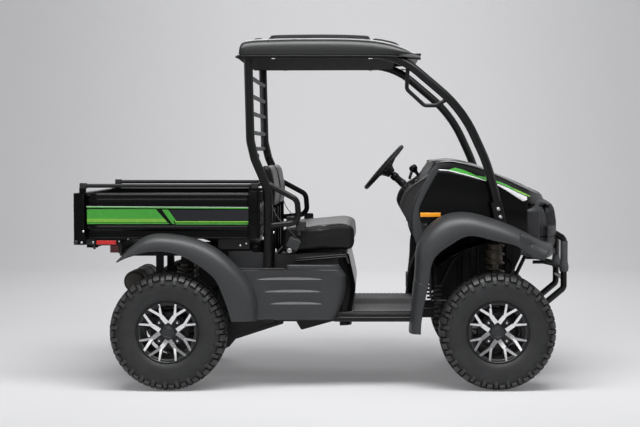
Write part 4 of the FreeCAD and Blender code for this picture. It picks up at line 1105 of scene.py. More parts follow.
def band(x, rise):
    """The sloping band: rise is the height above the falling edge. The surface leans
    in as it rises, first little and then more, as the rise to the power 1.3."""
    edge, crown, half = hood_curves(x)
    share = np.clip(rise / (0.72 * (crown - edge)), 0, 1)
    return half - 0.078 * share ** 1.3, edge + rise


def hood_top():
    """Across the hood: up the band, then over the crown as a quarter of a flat
    ellipse whose end meets the band."""
    x = np.linspace(-0.33, 0.29, 74)
    edge, crown, _ = hood_curves(x)
    shares = np.linspace(0, 1, 9)
    band_rise = 0.72 * (crown - edge)[:, None] * shares
    band_y, band_z = band(x[:, None], band_rise)
    turn = np.linspace(0, np.pi / 2, 16)[1:]
    start_y, start_z = band_y[:, -1:], band_z[:, -1:]
    over_y = start_y * np.cos(turn)
    over_z = start_z + (crown[:, None] - start_z) * np.sin(turn) ** 0.8
    y = np.concatenate([band_y, over_y], 1)
    z = np.concatenate([band_z, over_z], 1)
    # Two long, low ridges run down the top.
    z = z + 0.006 * np.exp(-((y - 0.2) / 0.018) ** 2) * (y < start_y - 0.02)
    return sheet(FRONT + x[:, None], y, z)


def hood_side():
    """From the fender's top up to the falling edge. The rear edge slants forwards above
    and below its widest point."""
    s = np.linspace(0, 1, 24)
    t = np.linspace(0, 1, 60)
    bottom = 0.85
    heights_at_rear = bottom + s * (1.2 - bottom)
    rear = np.interp(heights_at_rear, mm(850, 991, 1200), mm(-402, -428, -322))
    x = rear[:, None] * (1 - t) + 0.178 * t
    edge, _, half = hood_curves(x)
    z = bottom + (edge - bottom) * s[:, None]
    y = half - 0.01 * (1 - s[:, None]) ** 2 + 0.004 * np.sin(np.pi * s)[:, None]
    return sheet(FRONT + x, y, z)


top_shape, side_shape = hood_top(), hood_side()
make("hood_top", both_sides(top_shape), gloss_black, wall=0.004, facing=(0, 0, 1), crisp=50,
    replaces=["hood"], slot="body_gloss")
make_pair("hood_side", side_shape, gloss_black, (0, 1, 0), wall=0.004, crisp=50,
    replaces=["cowl_sides"], slot="body_gloss")

# %% [markdown]
# ## Hood film
# The coloured stripes are film laid on the band. Each is a thin sheet between two
# curves over x, lifted a fraction of a millimetre off the paint. Near the nose the
# green turns to lime, and a white stripe grows under it.

# %% Hood film
def film(x_marks, low_marks, high_marks, lift=0.0016):
    """A sheet on the band between two heights above the falling edge. A height below
    zero lies on the upright side."""
    x = np.linspace(x_marks[0], x_marks[-1], 70)
    bottom, upper = np.interp(x, x_marks, low_marks), np.interp(x, x_marks, high_marks)
    s = np.linspace(0, 1, 13)
    rise = bottom[:, None] * (1 - s) + upper[:, None] * s
    y, z = band(x[:, None], np.maximum(rise, 0))
    z = z + np.minimum(rise, 0)
    return sheet(FRONT + x[:, None], y + lift, z + lift * (rise > 0))


FILMS = [("film_white_line", white_film, mm(-322, -200, -58), mm(-1, -1, -1), mm(2.5, 3, 3)),
    ("film_green_rear", green_film, mm(-266, -228, -190, -140, -112), mm(3.1, 3.2, 3.2, 4, 11),
    mm(3.6, 24, 25, 18, 12)), ("film_green_low", green_film, mm(-176, -128, -58), mm(3.1, 3.2, 3.2),
    mm(3.6, 9, 22)), ("film_green_mid", green_film, mm(-58, -10, 60, 100), mm(3, 8, 17, 21),
    mm(23, 21, 29, 32)), ("film_lime_front", lime_film, mm(100, 150, 176, 198), mm(21, 28, 32, 37),
    mm(32, 38, 41, 41)), ("film_white_front", white_film, mm(-12, 60, 120, 151, 176),
    mm(1, -4, -8, -10, 10), mm(5, 14, 20, 24, 27))]
for name, look, x_marks, low_marks, high_marks in FILMS:
    stripe = film(x_marks, low_marks, high_marks)
    make(name, both_sides(stripe), look, wall=0.0006, crisp=60, facing=(0, 0, 1), offset=1.0)
print("hood films:", len(FILMS))

# %% [markdown]
# ## Nose
# The nose is one broad moulding that wraps from lamp to lamp. In plan it is a
# squared-off ellipse, and it leans back as it rises towards the hood. The lamps and
# the grille stand in pockets, so the surface is pushed back inside their outlines.

# %% Nose
NOSE_LEAN = numbers([(742, 18), (790, 5), (828, 0), (907, 2), (963, 11), (985, 18), (1004, 30),
    (1018, 50), (1030, 72), (1050, 88), (1062, 98), (1070, 112)])


def pocket(y, z, y_range, z_range, soft=0.006):
    """A window that is 1 inside a rectangle and 0 outside, with a soft step."""
    def step(value, start, end):
        return 1 / (1 + np.exp(-(value - start) / soft * 4)) / (1
            + np.exp((value - end) / soft * 4))
    return step(y, *y_range) * step(z, *z_range)


def nose_shell():
    """Over (turn in plan, height): the plan is the ellipse |x|^n + |y|^n = 1, n = 2.7,
    which shrinks and leans back with the height; lamps and grille are pockets."""
    turn = np.linspace(0, np.pi / 2, 90)
    heights = np.linspace(0.742, 1.07, 120)
    lean = np.interp(heights * 1000, NOSE_LEAN[:, 0], NOSE_LEAN[:, 1]) / 1000
    power = 2 / 2.7
    half = np.interp(heights, mm(742, 800, 900, 970, 984, 1024, 1040, 1070),
        mm(400, 442, 454, 452, 444, 400, 350, 270))
    depth = 0.233 - lean
    x = 0.15 + depth[:, None] * np.sign(np.cos(turn)) * np.abs(np.cos(turn)) ** power
    y = half[:, None] * np.sin(turn) ** power
    z = np.broadcast_to(heights[:, None], x.shape)
    lamp_pocket = pocket(y, z, (0.255, 0.398), (0.885, 1.0))
    grille_pocket = pocket(y, z, (-1.0, 0.205), (0.835, 0.962))
    channel = pocket(y, z, (0.222, 0.238), (0.8, 1.03), 0.01)
    x = x - 0.045 * lamp_pocket - 0.028 * grille_pocket - 0.012 * channel
    x = x - 0.01 * np.exp(-((z - 0.822) / 0.006) ** 2)
    y = y - 0.034 * pocket(x, z, (0.256, 0.296), (0.8, 1.01), 0.005)
    return sheet(FRONT + x, y, z)


nose = nose_shell()
make_pair("nose", nose, pod_plastic, (1, 0.5, 0.3), wall=0.004, crisp=55, replaces=["headlamps"])


def lamp_block(side):
    """A lamp: a clear lens that bulges out of its pocket, and behind it a bright bowl.
    The bowl is a paraboloid: its depth grows with the square of the radius."""
    u, v = np.meshgrid(np.linspace(-1, 1, 25), np.linspace(-1, 1, 19), indexing="ij")
    squash = np.sqrt(1 - 0.5 * np.stack([u, v]) ** 2)
    y = 0.326 + 0.064 * u * squash[1]
    z = 0.943 + 0.052 * v * squash[0]
    x = FRONT + 0.296 - 0.46 * (y - 0.262) + 0.012 * (1 - u ** 2) * (1 - v ** 2)
    lens = sheet(x, y, z)
    r, a = np.meshgrid(np.linspace(0.02, 1, 10), np.linspace(0, 2 * np.pi, 33)[:-1], indexing="ij")
    bowl_x = FRONT + 0.236 - 0.46 * (0.326 - 0.262) + 0.03 * r ** 2
    bowl = sheet(bowl_x, 0.326 + 0.05 * r * np.cos(a), 0.943 + 0.046 * r * np.sin(a), wrap_v=True)
    return (lens, bowl) if side > 0 else (other_side(lens), other_side(bowl))


for name, side in (("left", 1), ("right", -1)):
    lens, bowl = lamp_block(side)
    make("headlamp_lens_" + name, lens, lens_clear, wall=0.002, facing=(1, 0, 0), crisp=60,
        slot="lamp_clear")
    make("headlamp_bowl_" + name, bowl, zinc_bolt, wall=0.0015, facing=(1, 0, 0), crisp=60)
bars = [soft_box((FRONT + 0.344, -0.2, z - 0.005), (FRONT + 0.362, 0.2, z + 0.005), 0.0025)
    for z in (0.858, 0.88, 0.902, 0.924, 0.944)]
bars += [soft_box((FRONT + 0.34, y - 0.004, 0.842), (FRONT + 0.352, y + 0.004, 0.956), 0.002)
    for y in (-0.12, -0.04, 0.04, 0.12)]
make("grille", joined(bars), liner_plastic)

# %% [markdown]
# ## Reflectors and bolts of the nose
# An amber reflector sits on each side of the hood: a shallow moulded block with
# round edges. The hoop's foot is held by two flanged bolts.

# %% Reflector and hoop feet
amber = soft_box((FRONT - 0.4205, HALF_COWL + 0.003, 0.943),
    (FRONT - 0.308, HALF_COWL + 0.01, 0.967), 0.003)
make("side_reflectors", both_sides(amber), amber_lens)
feet = []
for x, z in ((0.006, 0.99), (0.0175, 0.946)):
    feet.append(placed(hexagon_bolt(0.016, 0.009), (FRONT + x, HOOP_Y + 0.0255, z), (0, 1, 0)))
plug = placed(cap_bolt(0.018, 0.004), (FRONT - 0.39, HALF_COWL + 0.004, 0.895), (0, 1, 0))
make("hoop_bolts", both_sides(joined(feet)), zinc_bolt)
make("hood_plugs", both_sides(plug), dark_plastic)
foot_path = np.array([(FRONT - 0.006, HOOP_Y + 0.018, 1.03), (FRONT + 0.004, HOOP_Y + 0.018, 0.985),
    (FRONT + 0.016, HOOP_Y + 0.018, 0.925), (FRONT + 0.021, HOOP_Y + 0.018, 0.905)])
foot = sweep(foot_path, oblong(0.016, 0.06, 0.006, 3), (0, 1, 0))
make("hoop_feet", both_sides(foot), tube_black)

# %% [markdown]
# ## Front guard
# The guard's two tubes come from the frame. A flat plate runs back from their tops
# to the nose, and a rubber pad that swells towards its lower end wraps each tube.

# %% Guard pads and plates
GUARD_X = high("front_guard", "x") - 0.018
GUARD_Y = high("front_guard", "y") - 0.018


def guard_pad():
    """A sleeve round the tube whose radius follows the height: it swells at the bottom
    as a bell curve."""
    z = np.linspace(SILL + 0.208, SILL + 0.384, 50)
    radius = 0.0215 + 0.006 * np.exp(-((z - SILL - 0.232) / 0.024) ** 2)
    profile = columns(z - z[0], radius)
    profile = np.concatenate([[(0, 0.0185)], profile, [(z[-1] - z[0], 0.0185)]])
    return revolve(profile, (GUARD_X + 0.001, GUARD_Y, z[0]), (0, 0, 1), 24)


make("guard_pads", both_sides(guard_pad()), pad_rubber, crisp=50)
plate_path = np.array([(FRONT + 0.352, GUARD_Y, SILL + 0.445),
    (GUARD_X - 0.05, GUARD_Y, SILL + 0.436), (GUARD_X - 0.004, GUARD_Y, SILL + 0.414)])
top_plate = sweep(rounded(plate_path, 0.03), oblong(0.046, 0.01, 0.004, 3), (0, 1, 0))
make("guard_plates", both_sides(top_plate), tube_black)
brace = tube([(FRONT + 0.24, GUARD_Y, SILL + 0.262), (FRONT + 0.3, GUARD_Y, SILL + 0.262),
    (GUARD_X - 0.012, GUARD_Y, SILL + 0.238)], 0.01, (0, 1, 0), 0.03)
make("guard_braces", both_sides(brace), tube_black)
cross_plate = soft_box((FRONT + 0.372, -GUARD_Y, SILL + 0.3), (FRONT + 0.384, GUARD_Y, SILL + 0.42),
    0.004)
make("guard_plate", cross_plate, frame_black)
print("guard at x", round(GUARD_X, 4), "y", round(GUARD_Y, 4))

# %% [markdown]
# ## Bed sides
# The bed is folded from sheet steel. Each side is a pressed skin over the frame's
# board: a rolled top edge, a rib under it, a flat field for the film, then a rounded
# bead and the hem of the skirt. Sheet gets its stiffness from such folds. The skin
# is one profile carried along the bed.

# %% Bed sides
# Outwards from the board's face, and height below the top of the board (mm).
SIDE_PROFILE = numbers([(0.4, -250), (2.4, -249), (3.2, -246), (2.6, -242), (1.2, -239),
    (1.2, -212), (1.6, -206), (5.5, -201), (8.0, -194), (8.2, -188), (6.4, -181), (3.2, -177.5),
    (1.6, -176), (1.4, -120), (1.4, -66), (1.6, -46), (3.4, -43), (4.4, -38), (3.4, -33),
    (1.6, -30), (1.4, -24), (3.0, -19), (6.2, -16.5), (6.8, -13), (4.6, -7.5), (-1.0, 0.6),
    (-11.0, 1.8), (-13.6, -0.5), (-13.8, -9)])
BED_FRONT, BED_REAR = REAR + 0.48, REAR - 0.496
BED_TAIL = low("cargo_bed", "x")


def bed_skin(start, end):
    """The profile's smooth curve, carried from start to end along x."""
    profile = smooth_curve(SIDE_PROFILE, 140) / 1000
    x = np.linspace(start, end, 14)
    return sheet(x[:, None], HALF_BODY + profile[:, 0], BED_TOP + profile[:, 1])


skin = bed_skin(BED_REAR + 0.036, BED_FRONT)
make_pair("bed_skin", skin, bed_black, (0, 1, 0), body="cargo_bed", wall=0.0012, crisp=50,
    slot="bed_gloss")

# %% [markdown]
# ## Floor and front wall of the bed
# The floor has long ridges, so that a load slides and the sheet does not drum. The
# front wall carries three wide ribs. Both are sheets whose height is a smooth wave
# of one coordinate: a flat-topped step repeated at equal distances.

# %% Ribbed sheets
def ridges(value, period, share, tall):
    """A row of flat-topped ridges: the distance to the nearest middle line, compared
    with half the ridge's width, through a smooth step."""
    near = np.abs((value / period + 0.5) % 1.0 - 0.5) * period
    return tall / (1 + np.exp((near - share * period / 2) / 0.006 * 5))


x = np.linspace(BED_REAR + 0.004, BED_FRONT - 0.014, 10)
y = np.linspace(-HALF_BODY + 0.014, HALF_BODY - 0.014, 330)
fade = np.clip(np.minimum(x - x[0], x[-1] - x) / 0.03, 0, 1)
floor_z = BED_FLOOR + 0.0012 + ridges(y[None], 0.0935, 0.45, 0.006) * fade[:, None]
floor_sheet = sheet(x[:, None], y, floor_z)
make("bed_floor_sheet", floor_sheet, bed_black, "cargo_bed", wall=0.001, facing=(0, 0, 1), crisp=50,
    slot="bed_gloss")
z = np.linspace(BED_FLOOR + 0.004, BED_TOP - 0.012, 120)
y = np.linspace(-HALF_BODY + 0.014, HALF_BODY - 0.014, 60)
fade = np.clip(np.minimum(y - y[0], y[-1] - y) / 0.04, 0, 1)
wave = ridges(z - BED_FLOOR - 0.036, 0.072, 0.42, 0.006)[:, None] * fade
front_in = sheet(BED_FRONT - 0.0135 - wave, y, z[:, None])
front_out = sheet(BED_FRONT + 0.0015 + wave, y, z[:, None])
make("bed_front_inner", front_in, bed_black, "cargo_bed", wall=0.001, facing=(-1, 0, 0), crisp=50,
    slot="bed_gloss")
make("bed_front_outer", front_out, bed_black, "cargo_bed", wall=0.001, facing=(1, 0, 0), crisp=50,
    slot="bed_gloss")
print("floor sheet:", floor_z.shape, "ridges", round(float(np.ptp(floor_z)), 4), "m tall")

# %% [markdown]
# ## Tailgate
# The tailgate is a double sheet with a wide sunken panel and two pressed ribs across
# it. A handle in the middle works a latch on each side.

# %% Tailgate
GATE_BACK = low("tailgate", "x")
GATE_HALF, GATE_LOW, GATE_HIGH = 0.548, BED_FLOOR + 0.024, BED_TOP - 0.008


def gate_sheet():
    """Over (y, z): the face is sunk where it is far from its border, and the sunk field
    has two ribs, each a bell curve of z."""
    y, z = np.meshgrid(np.linspace(-GATE_HALF, GATE_HALF, 90), np.linspace(GATE_LOW, GATE_HIGH, 80),
        indexing="ij")
    border = np.minimum(np.minimum(y + GATE_HALF, GATE_HALF - y) - 0.045,
        np.minimum(z - GATE_LOW, GATE_HIGH - z) - 0.03)
    sunk = 1 / (1 + np.exp(-border / 0.0015))
    across = np.clip((GATE_HALF - 0.075 - np.abs(y)) / 0.02, 0, 1)
    ribs = sum(np.exp(-((z - centre) / 0.011) ** 4) for centre in (GATE_LOW + 0.075,
        GATE_LOW + 0.128))
    x = GATE_BACK - 0.0065 + 0.0055 * sunk - 0.005 * ribs * across
    return sheet(x, y, z)


gate = gate_sheet()
make("tailgate_skin", gate, bed_black, "tailgate", wall=0.001, facing=(-1, 0, 0), crisp=50,
    slot="bed_gloss")
lip = sweep([(GATE_BACK + 0.004, -GATE_HALF, GATE_HIGH + 0.002),
    (GATE_BACK + 0.004, GATE_HALF, GATE_HIGH + 0.002)], oblong(0.022, 0.011, 0.005, 4), (1, 0, 0))
make("tailgate_lip", lip, bed_black, "tailgate", crisp=50)
handle = [sweep(rounded([(GATE_BACK - 0.004, -0.075, GATE_HIGH - 0.03),
    (GATE_BACK - 0.012, -0.06, GATE_HIGH - 0.03), (GATE_BACK - 0.012, 0.06, GATE_HIGH - 0.03),
    (GATE_BACK - 0.004, 0.075, GATE_HIGH - 0.03)], 0.01, 5), oblong(0.006, 0.016, 0.0028, 3),
    (1, 0, 0))]
handle.append(soft_box((GATE_BACK - 0.0055, -0.09, GATE_HIGH - 0.042),
    (GATE_BACK + 0.001, 0.09, GATE_HIGH - 0.018), 0.002))
make("tailgate_handle", joined(handle), tube_black, "tailgate")
latches = []
for z, tall in ((BED_TOP - 0.07, 0.026), (BED_TOP - 0.094, 0.012)):
    latches.append(soft_box((GATE_BACK - 0.007, 0.5, z - tall / 2),
        (GATE_BACK + 0.012, GATE_HALF + 0.014, z + tall / 2), 0.004))
latches.append(rod((GATE_BACK - 0.001, GATE_HALF + 0.006, BED_TOP - 0.112),
    (GATE_BACK - 0.001, GATE_HALF + 0.006, BED_TOP - 0.05), 0.0045, 12, edge=0.001))
make("tailgate_latches", both_sides(joined(latches)), bare_steel, "tailgate")

# %% [markdown]
# ## Posts, bolts and reflectors of the bed
# At the tail a plate on each side takes the latch; below it a red reflector and the
# bolts of the bed's frame show. The caps on the rail's posts are separate clamps.

# %% Bed hardware
OUT = HALF_BODY
tail_plate = plate(rounded([(BED_TAIL + 0.001, BED_TOP - 0.283),
    (BED_TAIL + 0.066, BED_TOP - 0.283), (BED_TAIL + 0.066, BED_TOP - 0.236),
    (BED_TAIL + 0.058, BED_TOP - 0.225), (BED_TAIL + 0.058, BED_TOP + 0.0015),
    (BED_TAIL + 0.001, BED_TOP + 0.0015)], 0.007, 4, closed=True), OUT - 0.001, OUT + 0.0068)
fold = soft_box((BED_TAIL + 0.044, OUT + 0.006, BED_TOP - 0.236),
    (BED_TAIL + 0.06, OUT + 0.0105, BED_TOP - 0.006), 0.002)
make("bed_tail_plates", both_sides(joined([tail_plate, fold])), bed_black, "cargo_bed",
    slot="bed_gloss")
front_post = soft_box((BED_FRONT - 0.042, OUT - 0.002, BED_TOP - 0.25),
    (BED_FRONT + 0.004, OUT + 0.0095, BED_TOP + 0.012), 0.003)
flange = soft_box((BED_FRONT - 0.044, OUT + 0.008, BED_TOP - 0.246),
    (BED_FRONT - 0.034, OUT + 0.0125, BED_TOP - 0.004), 0.002)
make("bed_front_posts", both_sides(joined([front_post, flange])), bed_black, "cargo_bed",
    slot="bed_gloss")
clamps = []
for x in (REAR - 0.47, REAR + 0.47):
    clamps.append(soft_box((x - 0.02, OUT - 0.027, BED_TOP + 0.026),
        (x + 0.02, OUT + 0.002, BED_TOP + 0.0565), 0.005))
    clamps.append(soft_box((x - 0.014, OUT - 0.024, BED_TOP - 0.004),
        (x + 0.014, OUT - 0.001, BED_TOP + 0.032), 0.003))
make("rail_clamps", both_sides(joined(clamps)), dark_plastic, "cargo_bed")
tail_bolt = cap_bolt(0.014, 0.006)
bolts = [placed(tail_bolt, (BED_TAIL + 0.054, OUT + 0.01, BED_TOP - 0.209), (0, 1, 0)),
    placed(tail_bolt, (BED_TAIL + 0.043, OUT + 0.0065, BED_TOP - 0.27), (0, 1, 0)),
    placed(hexagon_bolt(0.012, 0.006), (REAR - 0.418, OUT - 0.008, BED_TOP - 0.27), (0, 1, 0))]
make("bed_bolts", both_sides(joined(bolts)), zinc_bolt, "cargo_bed")
knob = rod((BED_TAIL + 0.012, OUT - 0.002, BED_TOP - 0.27),
    (BED_TAIL + 0.012, OUT + 0.016, BED_TOP - 0.27), 0.012, 20, edge=0.004)
peg = rod((REAR - 0.412, OUT - 0.014, BED_TOP - 0.308), (REAR - 0.412, OUT - 0.014, BED_TOP - 0.27),
    0.0065, 16, edge=0.002)
ledge = soft_box((REAR - 0.458, OUT - 0.024, BED_TOP - 0.282),
    (REAR - 0.28, OUT - 0.006, BED_TOP - 0.25), 0.003)
make("bed_corner_knobs", both_sides(joined([knob, peg, ledge])), dark_plastic, "cargo_bed")
red_bar = soft_box((REAR - 0.4, OUT - 0.008, BED_TOP - 0.282),
    (REAR - 0.29, OUT + 0.001, BED_TOP - 0.2585), 0.003)
make("bed_reflectors", both_sides(red_bar), red_lens, "cargo_bed")
# The plate under the bed's front end, on the frame.
under = plate(rounded([(BED_FRONT - 0.212, 0.768), (BED_FRONT - 0.04, 0.768),
    (BED_FRONT - 0.04, 0.826), (BED_FRONT - 0.212, 0.826)], 0.014, 5, closed=True), OUT - 0.018,
    OUT - 0.012)
make("bed_rest_plates", both_sides(under), frame_black, bevel=0.001)
shelf = plate(rounded([(-0.537, 0.7), (-0.537, 0.757), (-0.404, 0.757), (-0.398, 0.747),
    (-0.346, 0.747), (-0.342, 0.64), (-0.48, 0.64)], 0.008, 4, closed=True), 0.512, 0.524)
make("fender_inner_panels", both_sides(shelf), grained_plastic, bevel=0.002)
rest_bolts = [placed(cap_bolt(0.013, 0.005), (x, OUT - 0.0125, z), (0, 1, 0))
    for x, z in ((BED_FRONT - 0.091, 0.788), (BED_FRONT - 0.058, 0.799))]
make("bed_rest_bolts", both_sides(joined(rest_bolts)), zinc_bolt)

# %% [markdown]
# ## Film on the bed
# The bed's film is printed vinyl: a bright green band over a lime one, thin lines
# above and below, and a dark blue field cut off by a slash. Each colour is its own
# flat sheet, a little above the skin, and the field stays bare of letters.

# %% Bed film
FIELD = HALF_BODY + 0.0014


def flat_film(outline, lift):
    """A film of 0.2 mm over the board, from an outline in x and height (mm, from the
    rear axle and from the top of the board)."""
    points = numbers(outline) / 1000 + [REAR, BED_TOP]
    return plate(points, FIELD + lift - 0.0002, FIELD + lift)


LEFT, RIGHT = -449, 437
FILM_SHEETS = [("film_base", gloss_black, 0.0006, [(LEFT, -172), (RIGHT, -172), (RIGHT, -68),
    (LEFT, -68)]), ("film_white_edge", white_film, 0.0009,
    [(LEFT - 4, -73), (RIGHT, -78), (RIGHT, -75.5), (LEFT - 4, -70.5)]),
    ("film_top_green", green_film, 0.0009, [(LEFT - 2, -79.5), (RIGHT, -86), (RIGHT, -78),
    (LEFT - 2, -73)]), ("film_green_band", green_film, 0.0009,
    [(LEFT, -139), (-25, -139), (-72, -87), (LEFT, -87)]), ("film_lime_band", lime_film, 0.0009,
    [(LEFT, -158), (-8, -158), (-25, -139), (LEFT, -139)]), ("film_low_green", green_film, 0.0009,
    [(LEFT, -168), (2, -168), (-6, -160), (LEFT, -160)]),
    ("film_slash", green_film, 0.0009, [(25, -152), (41, -152), (-3, -90), (-38, -90), (12, -160),
    (20, -168), (32, -168)]),
    ("film_navy", navy_film, 0.0009, [(44, -148), (RIGHT, -148), (RIGHT, -91), (2, -91)]),
    ("film_lime_line", lime_film, 0.0009, [(36, -160), (RIGHT, -160), (RIGHT, -152), (30, -152)]),
    ("film_green_line", green_film, 0.0009, [(36, -171), (RIGHT, -171), (RIGHT, -163.5),
    (36, -163.5)])]
for name, look, lift, outline in FILM_SHEETS:
    make(name, both_sides(flat_film(outline, lift)), look, "cargo_bed")
print("bed films:", len(FILM_SHEETS))

# %% [markdown]
# ## Roof
# The roof is a blow-moulded shell: a rounded shoulder all round, a broad raised panel
# on top with a shallow valley round it, and a thin flange below. Its height is a
# curve over x for the shoulder and another for the crown. The section across is a
# superellipse, which is flat on top and falls quickly at the side.

# %% Roof
# x from the post, half width, shoulder height and crown height above the rail (mm).
ROOF_TABLE = numbers([(-157, 592, -8, -6), (-157, 594, 34, 36), (-151, 596, 56, 61),
    (-139, 598, 70, 77), (-118, 600, 77, 87), (-60, 600, 84, 95), (120, 600, 90, 103),
    (350, 600, 91, 104), (500, 600, 86, 100), (600, 598, 76, 92), (680, 594, 58, 77),
    (740, 588, 34, 56), (785, 581, 8, 34), (812, 575, -6, 14), (835, 569, -12, -6)])
# Across: share of the half width, and share of the shoulder's height.
ROOF_SECTION = np.array([(1, -0.1), (1, 0.2), (0.996, 0.42), (0.982, 0.66), (0.955, 0.82),
    (0.91, 0.9), (0.84, 0.945), (0.75, 0.965), (0.5, 0.985), (0.25, 1.0), (0, 1.0)])


def roof_shell():
    """Over (along, across): the section's height times the shoulder's, and towards the
    middle the crown's extra as 1 - y². Raised panels are windows with smooth edges."""
    rows = smooth_curve(ROOF_TABLE, 150) / 1000
    x, half, shoulder, crown = (column[:, None] for column in rows.T)
    section = smooth_curve(ROOF_SECTION, 110)
    y = half * np.clip(section[:, 0], 0, 1)
    z = shoulder * section[:, 1] + (crown - shoulder) * (1 - (y / half) ** 2) * np.clip(section[:,
        1], 0, 1)
    along = np.broadcast_to(x, y.shape)
    z = z + 0.021 * pocket(along, y, (0.004, 0.556), (-1, 0.455), 0.01)
    z = z + 0.012 * pocket(along, y, (0.574, 0.716), (-1, 0.448), 0.012)
    z = z + 0.01 * pocket(along, y, (-0.088, -0.038), (-1, 0.43), 0.01)
    z = z - 0.006 * pocket(along, y, (0.05, 0.5), (0.2, 0.26), 0.01)
    return sheet(POST_X + along, y, RAIL_Z + z)


def flat_flange():
    """The flange as a flat ring: the outline in plan, and the same drawn in by a share."""
    rows = smooth_curve(ROOF_TABLE[4:], 70) / 1000
    x, half = rows[:, 0], rows[:, 1] + 0.004
    x = np.concatenate([[-0.178, -0.172], x])
    half = np.concatenate([[0.575, 0.594], half])
    z = np.interp(x, mm(-178, 600, 710, 786, 835), mm(-12, -12, -14, -16, -20))
    t = np.linspace(0, 1, 7)
    y = half[:, None] * (1 - 0.06 * t)
    drop = -0.01 * t ** 2
    return sheet(POST_X + np.broadcast_to(x[:, None], y.shape), y, RAIL_Z + z[:, None] + drop)


shell = roof_shell()
make("roof_shell", both_sides(shell), roof_plastic, wall=0.004, facing=(0, 0, 1), crisp=60,
    replaces=["roof"], slot="roof_charcoal")
flange = flat_flange()
make("roof_flange", both_sides(flange), roof_plastic, wall=0.003, facing=(0, 0, 1), crisp=60)


def headliner():
    """The shell's underside: a nearly flat sheet just below the rails, with a shallow
    rib every 200 mm."""
    x = np.linspace(POST_X - 0.166, POST_X + 0.7, 60)
    y = np.linspace(-0.58, 0.58, 80)
    z = np.interp(x - POST_X, mm(-166, 600, 700), mm(-27, -27, -24))[:, None] + 0.003 * (y[None]
        / 0.58) ** 4
    z = z - ridges(x[:, None], 0.2, 0.25, 0.003)
    return sheet(x[:, None], y, RAIL_Z + z)


make("roof_liner", headliner(), under_plastic, wall=0.002, facing=(0, 0, -1), crisp=50)
side_rail = sweep([(POST_X - 0.166, 0.588, RAIL_Z - 0.018), (POST_X + 0.7, 0.588, RAIL_Z - 0.016)],
    oblong(0.006, 0.02, 0.002, 3), (0, 1, 0))
make("roof_side_rails", both_sides(side_rail), tube_black)
clips = [soft_box((POST_X + x - 0.011, 0.586, RAIL_Z - 0.03),
    (POST_X + x + 0.011, 0.5945, RAIL_Z - 0.025), 0.002) for x in (0.03, 0.56)]
clips += [placed(cap_bolt(0.012, 0.005), (POST_X - 0.082, HOOP_Y + 0.02, RAIL_Z - 0.016),
    (0, 1, 0))]
make("roof_clips", both_sides(joined(clips)), zinc_bolt)
print("roof:", np.round(shell.points.min(0), 3), np.round(shell.points.max(0), 3))

# %% [markdown]
# ## Front posts
# Each front post is one tube, bent in a roll bender: it leaves the roof level and comes
# down to the nose in one long, tightening curve, with no corner in it.

# %% Front posts
post_line = [(POST_X - 0.136, HOOP_Y, RAIL_Z)] + [(FRONT + x, HOOP_Y, z)
    for x, z in mm((-551, RAIL_Z * 1000), (-192, 1535), (-57, 1242), (3, 1025), (14, 894))]
front_tube = sweep(evenly(rounded(np.array(post_line), np.array([0, 0.4, 0.8, 0.9, 0.9, 0])), 90),
    circle(0.024, 24), (0, 1, 0))
make("front_post_tubes", both_sides(front_tube), tube_black, crisp=60, replaces=["front_posts"])

# %% [markdown]
# ## Seat
# A seat is foam in a sewn vinyl cover that is cut a little small, so it stands tight
# and crowned, flat only where it rests on its base. A crowned solid could be drawn by
# a formula, but cloth under pressure finds the true shape: full in the middle and
# held in at the corners. Each cushion starts a little smaller than it ends, is cut
# into small squares, blown up for twenty steps, and never lets a point move further
# than a cap. The bench is over a metre wide, so its squares are 7.5 mm.

# %% Cushions
def cushion_start(outline, low_y, high_y, draw, corner, edge_share=0.1):
    """A rounded outline in x and height, carried across the seat. Near each end the
    outline is drawn towards its own middle by draw·(1 - sqrt(1 - t²)), where t runs
    from 0 to 1 over the last part, so the ends are rounded."""
    ring = evenly(rounded(numbers(outline), corner, 6, closed=True), 160)
    middle_point = ring.mean(0)
    t = np.linspace(-1, 1, 61)
    ends = np.clip((np.abs(t) - 1 + edge_share) / edge_share, 0, 1)
    pull = draw * (1 - np.sqrt(np.maximum(1 - ends ** 2, 0)))
    arm = ring - middle_point
    reach = np.linalg.norm(arm, axis=1, keepdims=True)
    scale = 1 - pull[:, None, None] / reach
    across = (low_y + high_y) / 2 + t * (high_y - low_y) / 2
    flat = middle_point + arm * scale
    points = columns(flat[..., 0], across[:, None], flat[..., 1])
    return grid(points, wrap_v=True, cap=True)


